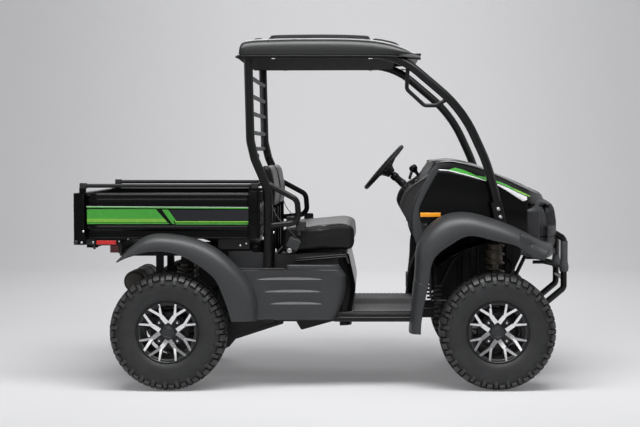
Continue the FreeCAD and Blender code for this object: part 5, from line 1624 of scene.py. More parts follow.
def inflated(name, shape, cell, cap, replaces, rest=None):
    """The shape as a cushion. rest(x) gives the height of the base under it, which no
    point of the bottom may pass."""
    start = make(name, shape, seat_vinyl, crisp=180, replaces=replaces, slot="seat_vinyl")
    remesh = start.modifiers.new("cells", "REMESH")
    remesh.mode, remesh.voxel_size = "VOXEL", cell
    depsgraph = bpy.context.evaluated_depsgraph_get()
    cells = bpy.data.meshes.new_from_object(start.evaluated_get(depsgraph))
    start.modifiers.clear()
    start.data = cells
    before = np.empty(len(cells.vertices) * 3, np.float32)
    cells.vertices.foreach_get("co", before)
    before = before.reshape(-1, 3)
    after = before.copy()
    cloth = start.modifiers.new("cover", "CLOTH")
    cloth.settings.quality = 6
    cloth.settings.use_pressure = True
    cloth.settings.uniform_pressure_force = 4.0
    cloth.settings.tension_stiffness = cloth.settings.compression_stiffness = 12
    cloth.settings.shear_stiffness, cloth.settings.bending_stiffness = 8, 0.8
    cloth.settings.effector_weights.gravity = 0
    cloth.collision_settings.use_collision = False
    cloth.point_cache.frame_start, cloth.point_cache.frame_end = 1, 20
    for step in range(1, 21):
        scene.frame_set(step)
    blown = start.evaluated_get(bpy.context.evaluated_depsgraph_get()).to_mesh()
    after = np.empty(len(blown.vertices) * 3, np.float32)
    blown.vertices.foreach_get("co", after)
    after = after.reshape(-1, 3)
    start.evaluated_get(bpy.context.evaluated_depsgraph_get()).to_mesh_clear()
    start.modifiers.clear()
    scene.frame_set(1)
    move = after - before
    far = np.linalg.norm(move, axis=1, keepdims=True)
    move = move / np.maximum(far, 1e-9) * (cap * np.tanh(far / cap))
    after = before + move
    if rest is not None:
        floor = rest(after[:, 0])
        after[:, 2] = np.maximum(after[:, 2], floor)
    cells.vertices.foreach_set("co", after.astype(np.float32).ravel())
    cells.update()
    cells.shade_smooth()
    smoother = start.modifiers.new("smoother", "SUBSURF")
    smoother.levels = smoother.render_levels = 1
    print(name, "squares:", len(cells.polygons), "largest move:", round(float(far.max()) * 1000, 1),
        "mm")
    return start


bench_outline = [(POST_X + x / 1000, SEAT_Z + z / 1000) for x, z in ((66, 4), (466, 22), (476, 60),
    (471, 136), (450, 153), (398, 157), (230, 142), (66, 128))]
bench = inflated("seat_bench", cushion_start(bench_outline, -0.516, 0.516, 0.02,
    mm(14, 22, 30, 24, 34, 60, 80, 20), 0.05), 0.0075, 0.009, rest=lambda x: SEAT_Z + 0.02
    * np.clip((x - POST_X - 0.063) / 0.396, 0, 1), replaces=["seat_cushion"])
back_outline = [(POST_X + x / 1000, SEAT_Z + z / 1000) for x, z in ((-26, 246), (22, 246),
    (26, 322), (26, 348), (7, 462), (-7, 483), (-28, 483), (-50, 472))]
backs = []
for name, low_y, high_y in (("seat_back_right", -0.496, -0.034), ("seat_back_left", 0.034, 0.496)):
    back = inflated(name, cushion_start(back_outline, low_y, high_y, 0.022,
        mm(14, 18, 30, 30, 22, 16, 14, 20)), 0.006, 0.007, replaces=["seat_backs"])
    backs.append(back)

# %% [markdown]
# ## Piping and seams
# Two panels of vinyl meet in a piped seam. The cord lies where they meet, so each
# path is laid near the edge and every point of it is then moved to the cushion's own
# surface.

# %% Piping
def laid_on(piece, path):
    """Each point of the path moved to the nearest place on the piece, and half a
    millimetre out from it."""
    nearest = [piece.closest_point_on_mesh(point) for point in path.tolist()]
    return np.array([np.array(place) + np.array(normal) * 0.0005 for _, place, normal,
        _ in nearest])


def piping(piece, path, radius):
    path = laid_on(piece, path)
    soft = path.copy()
    for _ in range(4):
        soft[1:-1] = (soft[:-2] + 2 * soft[1:-1] + soft[2:]) / 4
    return sweep(soft, circle(radius, 10), (0.3, 1, 0.2))


edge = np.array([(POST_X + x / 1000, SEAT_Z + z / 1000) for x, z in ((70, 129), (230, 145),
    (398, 160), (446, 157), (473, 134), (479, 62), (470, 26))])
edge = evenly(rounded(edge, mm(0, 60, 60, 40, 30, 40, 0), 6), 90)
cords = []
for side in (1, -1):
    along = columns(edge[:, 0], np.full(len(edge), side * 0.518), edge[:, 1])
    cords.append(piping(bench, along, 0.0032))
for x, z in ((POST_X + 0.47, SEAT_Z + 0.138), (POST_X + 0.088, SEAT_Z + 0.138)):
    y = np.linspace(-0.5, 0.5, 120)
    cords.append(piping(bench, columns(np.full(120, x), y, np.full(120, z)), 0.0026))
make("seat_piping", joined(cords), seat_vinyl, crisp=60)
cords = []
ring = evenly(rounded(back_outline, 0.018, 6, closed=True), 120)
for back, low_y, high_y in ((backs[0], -0.496, -0.034), (backs[1], 0.034, 0.496)):
    for y in (low_y, high_y):
        half = ring[(ring[:, 0] > POST_X - 0.02)]
        half = half[np.argsort(half[:, 1])]
        along = columns(half[:, 0] + 0.004, np.full(len(half), y), half[:, 1])
        cords.append(piping(back, along, 0.0026))
    y = np.linspace(low_y + 0.012, high_y - 0.012, 60)
    cords.append(piping(back, columns(np.full(60, POST_X + 0.03), y, np.full(60, SEAT_Z + 0.345)),
        0.0022))
make("back_piping", joined(cords), seat_vinyl, crisp=60)

# %% [markdown]
# ## Seat frame and belts
# The bench sits on two tubes that rise towards the front. A belt retractor is bolted
# outside the seat on each side, turned so that its strap leaves upwards and back to
# the shoulder guide on the hoop; a buckle stands on a stalk between seat and bar.

# %% Seat frame and belts
rails = []
for drop in (0.0, 0.011):
    rails.append(tube([(POST_X + 0.146, 0.5245, SEAT_Z - 0.033 - drop),
        (POST_X + 0.425, 0.5245, SEAT_Z - 0.008 - drop)], 0.0046, (0, 1, 0), 0.02, 12))
rails.append(tube([(POST_X + 0.425, 0.5245, SEAT_Z - 0.012),
    (POST_X + 0.44, 0.5245, SEAT_Z - 0.06)], 0.0055, (0, 1, 0), 0.02, 12))
make("seat_rails", both_sides(joined(rails)), engine_black)

CENTRE = np.array([POST_X + 0.136, 0.538, SEAT_Z + 0.052])
case = soft_box(CENTRE - mm(35, 20, 30), CENTRE + mm(35, 20, 30), 0.006)
slot_box = soft_box(CENTRE + mm(-26, -13, 26), CENTRE + mm(26, 13, 36), 0.004)
case = spun(joined([case, slot_box]), CENTRE, (0, 1, 0), math.radians(26))
make("belt_retractors", both_sides(case), cap_plastic)
wheel = joined([revolve(mm((0, 0), (0, 13), (5, 13), (6, 11), (6, 5), (9, 4), (9, 0)),
    CENTRE + mm(-22, 19, -36), (0, 1, 0), 24),
    placed(hexagon_bolt(0.014, 0.008), CENTRE + mm(-22, 27, -36), (0, 1, 0))])
bracket = plate(rounded([(CENTRE[0] - 0.04, CENTRE[2] - 0.062),
    (CENTRE[0] + 0.012, CENTRE[2] - 0.05), (CENTRE[0] + 0.014, CENTRE[2] - 0.01),
    (CENTRE[0] - 0.036, CENTRE[2] - 0.01)], 0.006, 4, closed=True), CENTRE[1] - 0.022,
    CENTRE[1] - 0.016)
make("retractor_bolts", both_sides(wheel), bare_steel)
make("retractor_brackets", both_sides(bracket), frame_black)


def strap(points, half, thick):
    """Webbing: a flat, closed section with a slightly thicker edge, carried along a
    smooth curve through the points."""
    section = np.array([(-half, -thick * 0.8), (-half + 0.002, -thick * 0.9),
        (-half + 0.003, -thick / 2), (half - 0.003, -thick / 2), (half - 0.002, -thick * 0.9),
        (half, -thick * 0.8), (half, thick * 0.8), (half - 0.002, thick * 0.9),
        (half - 0.003, thick / 2), (-half + 0.003, thick / 2), (-half + 0.002, thick * 0.9),
        (-half, thick * 0.8)])
    return sweep(evenly(smooth_curve(points, 200), 60), section, (0, 1, 0))


belt = strap([CENTRE + mm(12, 0, 34), (POST_X + 0.105, 0.534, SEAT_Z + 0.135),
    (POST_X + 0.04, 0.532, SEAT_Z + 0.21), (POST_X + 0.004, 0.528, SEAT_Z + 0.3),
    (POST_X - 0.042, 0.522, SEAT_Z + 0.42), (POST_X - 0.072, 0.52, SEAT_Z + 0.53)], 0.02, 0.0014)
guide = soft_box((POST_X - 0.086, 0.498, SEAT_Z + 0.52), (POST_X - 0.054, 0.544, SEAT_Z + 0.548),
    0.005)
make("belt_straps", both_sides(belt), belt_web, crisp=50)
make("belt_guides", both_sides(guide), dark_plastic)
stalks = [tube([(POST_X + 0.06, 0.045, SEAT_Z + 0.02), (POST_X + 0.085, 0.045, SEAT_Z + 0.125)],
    0.008, (0, 1, 0), 0.02, 10), soft_box((POST_X + 0.068, 0.03, SEAT_Z + 0.12),
    (POST_X + 0.112, 0.06, SEAT_Z + 0.178), 0.006)]
make("belt_buckles", both_sides(joined(stalks)), dark_plastic)
clasp = [soft_box((POST_X + 0.148, 0.52, SEAT_Z + 0.12), (POST_X + 0.205, 0.556, SEAT_Z + 0.176),
    0.008), soft_box((POST_X + 0.158, 0.526, SEAT_Z + 0.096),
    (POST_X + 0.178, 0.55, SEAT_Z + 0.126), 0.004)]
make("belt_clasps", both_sides(joined(clasp)), liner_plastic)
post_bolt = placed(cap_bolt(0.013, 0.006), (POST_X + 0.029, HOOP_Y + 0.012, SEAT_Z + 0.116),
    (0, 1, 0))
make("post_bolts", both_sides(post_bolt), zinc_bolt)
print("belts laid, retractor at", np.round(CENTRE, 3))

# %% [markdown]
# ## Dash
# The dash is one moulding from door to door. Its middle stands back, and at each end
# it swells into a cheek. Two side views, one of the middle and one of a cheek, are
# divided into the same number of equal steps; between them the surface blends
# smoothly. Pockets are pushed into it and the instrument hood is pulled out of it.

# %% Dash
MIDDLE_LINE = mm((-222, 378), (-300, 383), (-338, 376), (-356, 345), (-382, 302), (-408, 240),
    (-428, 178), (-430, 98), (-408, 24), (-380, -6), (-372, -60))
CHEEK_LINE = mm((-314, 318), (-319, 346), (-326, 368), (-342, 350), (-364, 314), (-396, 288),
    (-434, 264), (-480, 234), (-514, 192), (-530, 150), (-529, 118), (-510, 80), (-488, 48),
    (-465, -3), (-440, -50), (-425, -98))


def dash_face():
    """Over (across, down): the blend of the two side views. Each feature is a window in
    both directions times a depth along x."""
    middle_path = evenly(smooth_curve(MIDDLE_LINE, 300), 150)
    cheek_path = evenly(smooth_curve(CHEEK_LINE, 300), 150)
    y = np.linspace(-HALF_COWL + 0.001, HALF_COWL - 0.001, 260)
    blend = smooth_step(np.abs(y), 0.395, 0.475)[:, None, None]
    path = middle_path * (1 - blend) + cheek_path * blend
    x, z = path[..., 0], path[..., 1]
    y = np.broadcast_to(y[:, None], x.shape)
    shelf = pocket(y, z, (-0.375, -0.075), (0.105, 0.215), 0.012)
    hood = np.exp(-((y - 0.3) / 0.115) ** 4) * np.exp(-((z - 0.33) / 0.04) ** 2)
    panel = pocket(y, z, (-0.055, 0.105), (0.07, 0.3), 0.01)
    cup = pocket(y, z, (0.15, 0.375), (0.06, 0.15), 0.014)
    x = x + 0.05 * shelf - 0.012 * hood - 0.01 * panel + 0.028 * cup
    # The cheek's outer edge is rounded off.
    outer = np.clip((np.abs(y) - (HALF_COWL - 0.014)) / 0.013, 0, 1)
    x = x + 0.01 * (1 - np.sqrt(np.maximum(1 - outer ** 2, 0)))
    return sheet(FRONT + x, y, DASH_Z + z)


dash = dash_face()
make("dash_moulding", dash, dark_plastic, wall=0.003, facing=(-1, 0, 0.3), crisp=60,
    replaces=["dash_panel"], slot="fender_plastic")
cheek_outline = np.concatenate([evenly(smooth_curve(CHEEK_LINE, 300), 60),
    mm((-380, -96), (-380, 40), (-330, 200), (-222, 330))])
cheek = plate(cheek_outline + [FRONT, DASH_Z], HALF_COWL - 0.012, HALF_COWL - 0.001)
make("dash_cheeks", both_sides(cheek), dark_plastic, bevel=0.002)


def cheek_band():
    """The grained band along the hood's rear edge: a strip between two side views, which
    bulges outwards as a half sine across its width."""
    front_line = mm((-306, 374), (-314, 364), (-318, 330), (-424, 118), (-402, -20), (-428, -98))
    back_line = mm((-326, 376), (-346, 346), (-376, 306), (-452, 128), (-462, -4), (-434, -98))
    front_path = evenly(smooth_curve(front_line, 200), 90)
    back_path = evenly(smooth_curve(back_line, 200), 90)
    s = np.linspace(0, 1, 13)[None, :, None]
    flat = front_path[:, None] * (1 - s) + back_path[:, None] * s
    bulge = HALF_COWL + 0.0005 + 0.0042 * np.sin(np.pi * s[..., 0]) ** 0.35 * np.ones((90, 1))
    return sheet(FRONT + flat[..., 0], bulge, DASH_Z + flat[..., 1])


band_shape = cheek_band()
make("dash_bands", both_sides(band_shape), grained_plastic, wall=0.002, crisp=50)


def cheek_swell():
    """The dark part behind the band: over (round the cheek, inwards) the surface sinks
    from the rim and rises again, as a cosine."""
    rim = evenly(smooth_curve(mm((-392, 286), (-434, 260), (-476, 230), (-508, 190), (-523, 150),
        (-522, 118), (-504, 82), (-480, 40), (-468, 0)), 200), 70)
    inner = evenly(smooth_curve(mm((-384, 284), (-402, 244), (-420, 208), (-438, 170), (-452, 128),
        (-458, 90), (-462, 50), (-464, 30), (-466, 2)), 200), 70)
    s = np.linspace(0, 1, 17)[None, :, None]
    flat = rim[:, None] * (1 - s) + inner[:, None] * s
    lift = HALF_COWL - 0.002 + 0.006 * np.cos(2 * np.pi * s[..., 0]) * np.ones((70, 1))
    return sheet(FRONT + flat[..., 0], lift, DASH_Z + flat[..., 1])


make("dash_swells", both_sides(cheek_swell()), dark_plastic, wall=0.002, crisp=50)

# %% [markdown]
# ## Instruments and switches
# The display sits under the instrument hood in a rounded frame; beside the column is the key
# switch, and the middle panel carries rocker switches.

# %% Instruments
face_x = FRONT - 0.447
display = soft_box((face_x - 0.01, 0.235, DASH_Z + 0.262), (face_x + 0.004, 0.365, DASH_Z + 0.318),
    0.006)
display = spun(display, (face_x, 0.3, DASH_Z + 0.29), (0, 1, 0), math.radians(18))
make("display_frame", display, liner_plastic)
glass = soft_box((face_x - 0.0125, 0.243, DASH_Z + 0.268), (face_x - 0.009, 0.357, DASH_Z + 0.312),
    0.0015)
glass = spun(glass, (face_x, 0.3, DASH_Z + 0.29), (0, 1, 0), math.radians(18))
make("display_glass", glass, navy_film)
switches = []
for z in (0.25, 0.205, 0.16):
    for y in (-0.022, 0.025, 0.072):
        x = FRONT + np.interp(z, mm(98, 178, 240, 290), mm(-433, -432, -414, -396)) - 0.013
        switches.append(soft_box((x - 0.006, y - 0.013, DASH_Z + z - 0.016),
            (x + 0.012, y + 0.013, DASH_Z + z + 0.016), 0.003))
make("rocker_switches", joined(switches), gloss_black)
key = joined([revolve(mm((0, 0), (0, 17), (8, 17), (10, 14), (10, 0)),
    (FRONT - 0.436, 0.15, DASH_Z + 0.2), (-1, 0, 0), 24),
    soft_box((FRONT - 0.47, 0.147, DASH_Z + 0.188), (FRONT - 0.444, 0.153, DASH_Z + 0.212), 0.002)])
make("key_switch", key, bare_steel)
bumps = []
for x, y, radius, tall in ((-0.324, 0.36, 0.03, 0.012), (-0.268, 0.34, 0.04, 0.013),
        (-0.212, 0.33, 0.03, 0.012)):
    t = np.linspace(0, np.pi / 2, 7)
    bumps.append(revolve(columns(tall * np.sin(t), radius * np.cos(t)),
        (FRONT + x, y, DASH_Z + 0.372), (0, 0, 1), 24))
make("dash_caps", both_sides(joined(bumps)), dark_plastic, crisp=50)
print("dash:", np.round(dash.points.min(0), 3), np.round(dash.points.max(0), 3))

# %% [markdown]
# ## Steering wheel
# The rim is a round bar with a soft grip that swells under the hands and has finger
# waves on its far side. Three flat spokes dip towards the hub, and a pad covers the
# nut. The column runs down through a rubber boot in the dash.

# %% Steering wheel
AXIS = np.array([0.754, 0.0, -0.657])
WHEEL_CENTRE = np.array([FRONT - 0.612, 0.3, DASH_Z + 0.338])
WHEEL_R = 0.161
side_axis, up_axis = axes_of(AXIS)


def grip():
    """A ring whose bar thickens as a cosine of the turn and carries small finger waves."""
    turn = np.linspace(0, 2 * np.pi, 145)[:-1]
    radius = 0.0142 + 0.0014 * np.cos(2 * turn) + 0.0006 * np.cos(36 * turn)
    path = WHEEL_CENTRE + WHEEL_R * (np.cos(turn)[:, None] * side_axis + np.sin(turn)[:, None]
        * up_axis)
    out = (path - WHEEL_CENTRE) / WHEEL_R
    return sweep(path, circle(1.0, 16), out, closed=True, size=radius)


def spoke(turn):
    """A flat bar from the rim down to the hub, along a curve that dips with the square
    of the way in."""
    out = math.cos(turn) * side_axis + math.sin(turn) * up_axis
    t = np.linspace(0, 1, 14)[:, None]
    path = WHEEL_CENTRE + out * (WHEEL_R * (1 - t) + 0.026 * t) + AXIS * 0.03 * t ** 1.5
    across = np.cross(out, AXIS)
    width = np.interp(t[:, 0], (0, 0.3, 1), (0.7, 1.0, 1.35))
    return sweep(path, oblong(0.034, 0.008, 0.0035, 3), across, size=width)


make("steering_grip", grip(), grip_rubber, "steering_wheel", crisp=50, replaces=["steering_wheel"],
    slot="grip_rubber")
hub_profile = mm((8, 0), (8, 30), (11, 39), (16, 43), (30, 43), (46, 34), (58, 30), (64, 24),
    (64, 0))
hub = revolve(hub_profile, WHEEL_CENTRE, AXIS, 40)
pad = revolve(mm((3, 0), (3, 20), (5, 29), (9, 33), (14, 33), (14, 0)), WHEEL_CENTRE, AXIS, 40)
make("steering_spokes", joined([spoke(math.radians(a)) for a in (90, 210, 330)] + [hub]),
    dark_plastic, "steering_wheel", crisp=50)
make("steering_pad", pad, gloss_black, "steering_wheel", crisp=50)
t = np.linspace(0, 1, 60)
boot_profile = columns(0.15 + 0.105 * t, 0.024 + 0.02 * t ** 1.4 + 0.0035
    * np.cos(t * 2 * np.pi * 5))
boot_profile = np.concatenate([[(0.15, 0.0)], boot_profile, [(0.255, 0.0)]])
make("column_boot", revolve(boot_profile, WHEEL_CENTRE, AXIS, 36), pad_rubber, crisp=50)
shroud = mm((66, 0), (66, 20), (72, 25), (96, 26), (104, 20), (128, 20), (132, 24), (150, 24),
    (152, 0))
make("column_shroud", revolve(shroud, WHEEL_CENTRE, AXIS, 36), tube_black, crisp=50)

# %% [markdown]
# ## Gear lever and pedals
# The lever's knob is turned plastic: a ball with a flat top and a narrow neck. Below it
# a pleated boot closes the slot. Each pedal wears a ribbed rubber pad.

# %% Lever and pedals
KNOB = np.array([FRONT - 0.447, -0.15, DASH_Z + 0.335])
FOOT = np.array([FRONT - 0.384, -0.15, DASH_Z + 0.248])
down = (FOOT - KNOB) / length_of(FOOT - KNOB)
knob_profile = mm((-20, 0), (-20, 12), (-17, 19), (-10, 23), (0, 24), (10, 22), (18, 15), (26, 10),
    (70, 8), (120, 8), (120, 0))
make("lever_knob", revolve(knob_profile, KNOB, down, 32), gloss_black, crisp=50,
    replaces=["driver_controls"])
t = np.linspace(0, 1, 50)
pleats = columns(0.05 + 0.07 * t, 0.014 + 0.026 * t ** 1.3 + 0.003 * np.cos(t * 2 * np.pi * 4))
pleats = np.concatenate([[(0.05, 0)], pleats, [(0.12, 0)]])
make("lever_boot", revolve(pleats, KNOB, down, 32), pad_rubber, crisp=50)
pads = []
for low_y, high_y in ((0.2, 0.26), (0.3, 0.37)):
    pads.append(soft_box((0.4665, low_y - 0.002, SILL + 0.064),
        (0.4725, high_y + 0.002, SILL + 0.166), 0.0025))
    for z in np.linspace(SILL + 0.076, SILL + 0.154, 8):
        pads.append(soft_box((0.4635, low_y + 0.004, z - 0.0028),
            (0.468, high_y - 0.004, z + 0.0028), 0.0014, 2))
make("pedal_pads", joined(pads), pad_rubber, replaces=["driver_controls"])
arms = []
for y in (0.23, 0.335):
    arms.append(soft_box((0.4715, y - 0.028, SILL + 0.068), (0.479, y + 0.028, SILL + 0.162),
        0.002))
    arms.append(sweep(rounded([(0.476, y, SILL + 0.15), (0.5, y, SILL + 0.23),
        (0.552, y, SILL + 0.33)], 0.05), oblong(0.022, 0.01, 0.003, 3), (0, 1, 0)))
make("pedal_arms", joined(arms), frame_black, replaces=["driver_controls"])

# %% [markdown]
# ## Floor and sills
# A moulded rubber mat covers the floor, with a raised rim and rows of low studs. The
# sill has a rolled trim with two ridges along it, which keep boots off the paint.

# %% Floor and sills
floor_low, floor_high = low("floor_pan", "x"), high("floor_pan", "x")


def mat():
    """Over (x, y): low studs are a product of two cosines, cut off at zero; the rim
    rises near the edge."""
    x, y = np.meshgrid(np.linspace(POST_X + 0.462, floor_high - 0.004, 150),
        np.linspace(-0.52, 0.52, 330), indexing="ij")
    studs = np.clip(np.cos(x * 2 * np.pi / 0.026) * np.cos(y * 2 * np.pi / 0.026), 0, 1) ** 0.7
    rim = 0.003 * np.exp(-((0.52 - np.abs(y)) / 0.008) ** 2)
    tunnel = 0.03 * np.exp(-(y / 0.085) ** 6)
    z = FLOOR_TOP + 0.0015 + 0.0016 * studs + rim + tunnel
    return sheet(x, y, z)


make("floor_mat", mat(), floor_rubber, wall=0.0012, facing=(0, 0, 1), crisp=50)
profile = mm((0, -42), (3.5, -41), (4.5, -38), (3, -35), (2.5, -28), (3, -24), (6, -21), (6.5, -18),
    (5, -15.5), (3, -14), (3, -10), (6, -7), (6.5, -3), (5, 0), (1, 1.5), (-8, 1.5), (-8, 0),
    (0, 0))
x = np.linspace(POST_X + 0.36, floor_high - 0.02, 12)
trim = sheet(x[:, None], 0.5405 + profile[:, 0], SILL + profile[:, 1], wrap_v=True, cap=True)
make("sill_trims", both_sides(trim), tube_black)
wedge = plate([(-0.188, 0.352), (-0.15, 0.288), (-0.142, 0.286), (0.066, 0.344), (0.066, 0.356),
    (-0.188, 0.356)], -0.26, 0.26)
make("skid_plate", wedge, frame_black, bevel=0.003)
print("floor mat from", round(floor_low, 3), "to", round(floor_high, 3))

# %% [markdown]
# ## Seat box
# Under the bench a moulded box covers the engine. Its front is a soft, glossy skirt
# that bulges forwards at knee height and rolls back round both ends. It is one sheet:
# the front's side view carried across, drawn back near the ends as a quarter circle.
# The two uprights behind it hold the seat backs.

# %% Seat box
BOX_FRONT = mm((60, 0), (392, 2), (428, 0), (441, -12), (450, -51), (466, -123), (477, -190),
    (470, -254), (458, -327), (455, -400))


def seat_box():
    """Over (across, along the side view): the side view, minus what the end's quarter
    circle takes, and two upright creases that frame the middle."""
    line = evenly(smooth_curve(BOX_FRONT, 300), 110)
    near_end = 0.062 * (1 - np.cos(np.linspace(0, np.pi / 2, 16)))
    y = np.concatenate([-0.52 + near_end, np.linspace(-0.45, 0.45, 51), 0.52 - near_end[::-1]])
    end = np.clip((np.abs(y) - 0.458) / 0.062, 0, 1)
    back = 0.066 * (1 - np.sqrt(1 - end ** 2)) + 0.006 * np.exp(-((np.abs(y) - 0.3) / 0.01) ** 2)
    x = line[None, :, 0] - back[:, None] * smooth_step(line[:, 0], 0.4, 0.45)
    z = np.broadcast_to(line[:, 1], x.shape)
    return sheet(POST_X + x, y[:, None], SEAT_Z - 0.003 + z)


make("seat_box_front", seat_box(), bed_black, wall=0.003, facing=(1, 0, 0.2), crisp=50,
    replaces=["seat_base"], slot="fender_plastic")
sides = plate([(POST_X + 0.04, SEAT_Z - 0.008), (POST_X + 0.392, SEAT_Z - 0.006),
    (POST_X + 0.392, FLOOR_TOP), (POST_X + 0.04, FLOOR_TOP)], 0.5, 0.517)
back_wall = soft_box((POST_X + 0.026, -0.51, FLOOR_TOP), (POST_X + 0.042, 0.51, SEAT_Z - 0.004),
    0.005)
uprights = [soft_box((POST_X - 0.03, y - 0.02, SEAT_Z - 0.02),
    (POST_X + 0.01, y + 0.02, SEAT_Z + 0.236), 0.006) for y in (0.15, 0.38)]
make("seat_box_walls", joined([both_sides(sides), back_wall]), liner_plastic,
    replaces=["seat_base"])
make("back_uprights", both_sides(joined(uprights)), frame_black, replaces=["seat_base"])

# %% [markdown]
# ## Springs
# A coil spring is one long bar wound on a drum. Its path is a helix: the turn grows
# evenly while the height does too, except over the first and last coil, which lie
# flat so that the spring can stand on its seats.

# %% Springs
def coil(start, end, radius, wire, turns):
    """A helix about the line from start to end. The height follows the turn through a
    curve that is level at both ends."""
    start, end = numbers(start), numbers(end)
    along = end - start
    side, up = axes_of(along)
    t = np.linspace(0, 1, int(turns * 26))
    rise = np.interp(t, (0, 0.9 / turns, 1 - 0.9 / turns, 1), (0.015, 0.035, 0.965, 0.985))
    angle = t * turns * 2 * np.pi
    ring = np.cos(angle)[:, None] * side + np.sin(angle)[:, None] * up
    path = start + along * rise[:, None] + radius * ring
    return sweep(path, circle(wire, 10), along)


def seat_cup(centre, axis, radius, tall):
    """A pressed steel cup that holds a spring's end."""
    return revolve(np.array([(0, 0), (0, radius * 0.7), (tall * 0.2, radius), (tall, radius * 1.03),
        (tall, radius * 0.97), (tall * 0.4, radius * 0.9), (tall * 0.4, 0)]), centre, axis, 32)


KING_LOW, KING_HIGH = np.array([FRONT, 0.433 - 0.2 * 33 / 360, 0.52]), np.array([FRONT,
    0.433 - 0.5347 * 33 / 360, 0.8547])
king = (KING_HIGH - KING_LOW) / length_of(KING_HIGH - KING_LOW)
for name, mirror in (("left", lambda shape: shape), ("right", other_side)):
    body = "knuckle_" + name
    spring = coil(KING_LOW + king * 0.085, KING_LOW + king * 0.318, 0.0515, 0.0068, 6.2)
    make("front_spring_" + name, mirror(spring), spring_paint, body, crisp=60, slot="shock_steel")
    cups = joined([seat_cup(KING_LOW + king * 0.08, king, 0.056, 0.012),
        seat_cup(KING_LOW + king * 0.326, -king, 0.056, 0.012),
        revolve(mm((0, 0), (0, 26), (4, 27), (60, 27), (64, 24), (66, 0)), KING_LOW + king * 0.01,
        king, 24)])
    make("front_spring_cups_" + name, mirror(cups), engine_black, body)
    caliper = joined([soft_box((FRONT - 0.052, 0.452, WHEEL_Z + 0.07),
        (FRONT + 0.052, 0.505, WHEEL_Z + 0.118), 0.012), rod((FRONT - 0.03, 0.44, WHEEL_Z + 0.096),
        (FRONT - 0.03, 0.456, WHEEL_Z + 0.096), 0.014, 18, edge=0.003),
        rod((FRONT + 0.03, 0.44, WHEEL_Z + 0.096), (FRONT + 0.03, 0.456, WHEEL_Z + 0.096), 0.014,
        18, edge=0.003)])
    make("front_caliper_" + name, mirror(caliper), cast_alloy, body)
rear_low, rear_high = np.array([REAR + 0.06, 0.32, 0.392]), np.array([REAR + 0.06, 0.32, 0.665])
lean = (rear_high - rear_low) / length_of(rear_high - rear_low)
rear_spring = coil(rear_low + lean * 0.03, rear_high - lean * 0.016, 0.045, 0.0058, 8.0)
rear_cups = [seat_cup(rear_low + lean * 0.026, lean, 0.05, 0.01),
    seat_cup(rear_high - lean * 0.01, -lean, 0.05, 0.01)]
make("rear_springs", both_sides(rear_spring), spring_paint, crisp=60, slot="shock_steel")
make("rear_spring_cups", both_sides(joined(rear_cups)), engine_black)
print("springs: front", round(float(length_of(KING_HIGH - KING_LOW)), 3), "m strut")

# %% [markdown]
# ## Boots and hoses
# Pleated rubber boots close the drive joints. Their radius is a saw of rounded
# pleats over a straight taper. Brake hoses hang in free arcs, laid as smooth curves.

# %% Boots and hoses
def pleated(start, end, first, last, pleats, depth=0.005):
    """A taper from the first radius to the last, with pleats as a cosine."""
    start, end = numbers(start), numbers(end)
    length = length_of(end - start)
    t = np.linspace(0, 1, pleats * 10 + 1)
    radius = first + (last - first) * t + depth * np.cos(t * pleats * 2 * np.pi)
    profile = columns(length * t, radius)
    profile = np.concatenate([[(0, 0)], profile, [(length, 0)]])
    return revolve(profile, start, end - start, 28)


boots = [pleated((FRONT, 0.12, WHEEL_Z), (FRONT, 0.185, WHEEL_Z), 0.04, 0.022, 5),
    pleated((FRONT, 0.4, WHEEL_Z), (FRONT, 0.335, WHEEL_Z), 0.04, 0.022, 5)]
make("drive_boots", both_sides(joined(boots)), grip_rubber, crisp=60)
hose_path = [(FRONT + 0.03, 0.44, WHEEL_Z + 0.1), (FRONT + 0.07, 0.4, WHEEL_Z + 0.23),
    (FRONT + 0.11, 0.33, WHEEL_Z + 0.33), (FRONT + 0.05, 0.26, WHEEL_Z + 0.4),
    (FRONT - 0.04, 0.24, WHEEL_Z + 0.47)]
hose = sweep(evenly(smooth_curve(hose_path, 160), 60), circle(0.0052, 10), (1, 0.2, 0))
make("brake_hoses", both_sides(hose), grip_rubber, crisp=60)

# %% [markdown]
# ## Wheel wells
# Behind each front wheel a moulded liner keeps the mud out of the cabin: an upright
# sheet with stiffening ribs that follows the arch. Its edge has teeth where it is
# clipped on.

# %% Wheel wells
def well_liner():
    """Over (round the arch, across): an arc about the axle, with ribs every few degrees
    as a flat-topped wave of the angle."""
    angle = np.radians(np.linspace(84, 169, 110))
    across = np.linspace(0.186, 0.505, 40)
    flat = FRONT + (TYRE_R + 0.15) * np.cos(angle) < 0.64
    rib = np.where(flat, 0, 0.006 * np.tanh(4 * np.cos(angle * 26)))
    radius = TYRE_R + 0.15 + rib[:, None] * np.clip((0.5 - across) / 0.02, 0, 1)
    x = FRONT + radius * np.cos(angle)[:, None]
    z = np.minimum(WHEEL_Z + radius * np.sin(angle)[:, None], 0.866)
    return sheet(np.maximum(x, 0.6165), across, z)


def inner_wall():
    """The well's upright inner side: over (along, up) it has a shallow dish and two
    upright folds."""
    x, z = np.meshgrid(np.linspace(0.6165, 1.075, 90), np.linspace(0.47, 0.87, 60), indexing="ij")
    x = x + 0.045 * smooth_step(z, 0.6, 0.74) * smooth_step(x, 0.95, 1.07)
    y = 0.186 + 0.01 * np.exp(-((x - 0.76) / 0.012) ** 4) + 0.01 * np.exp(-((x - 0.985) / 0.012)
        ** 4)
    return sheet(x, y, z)


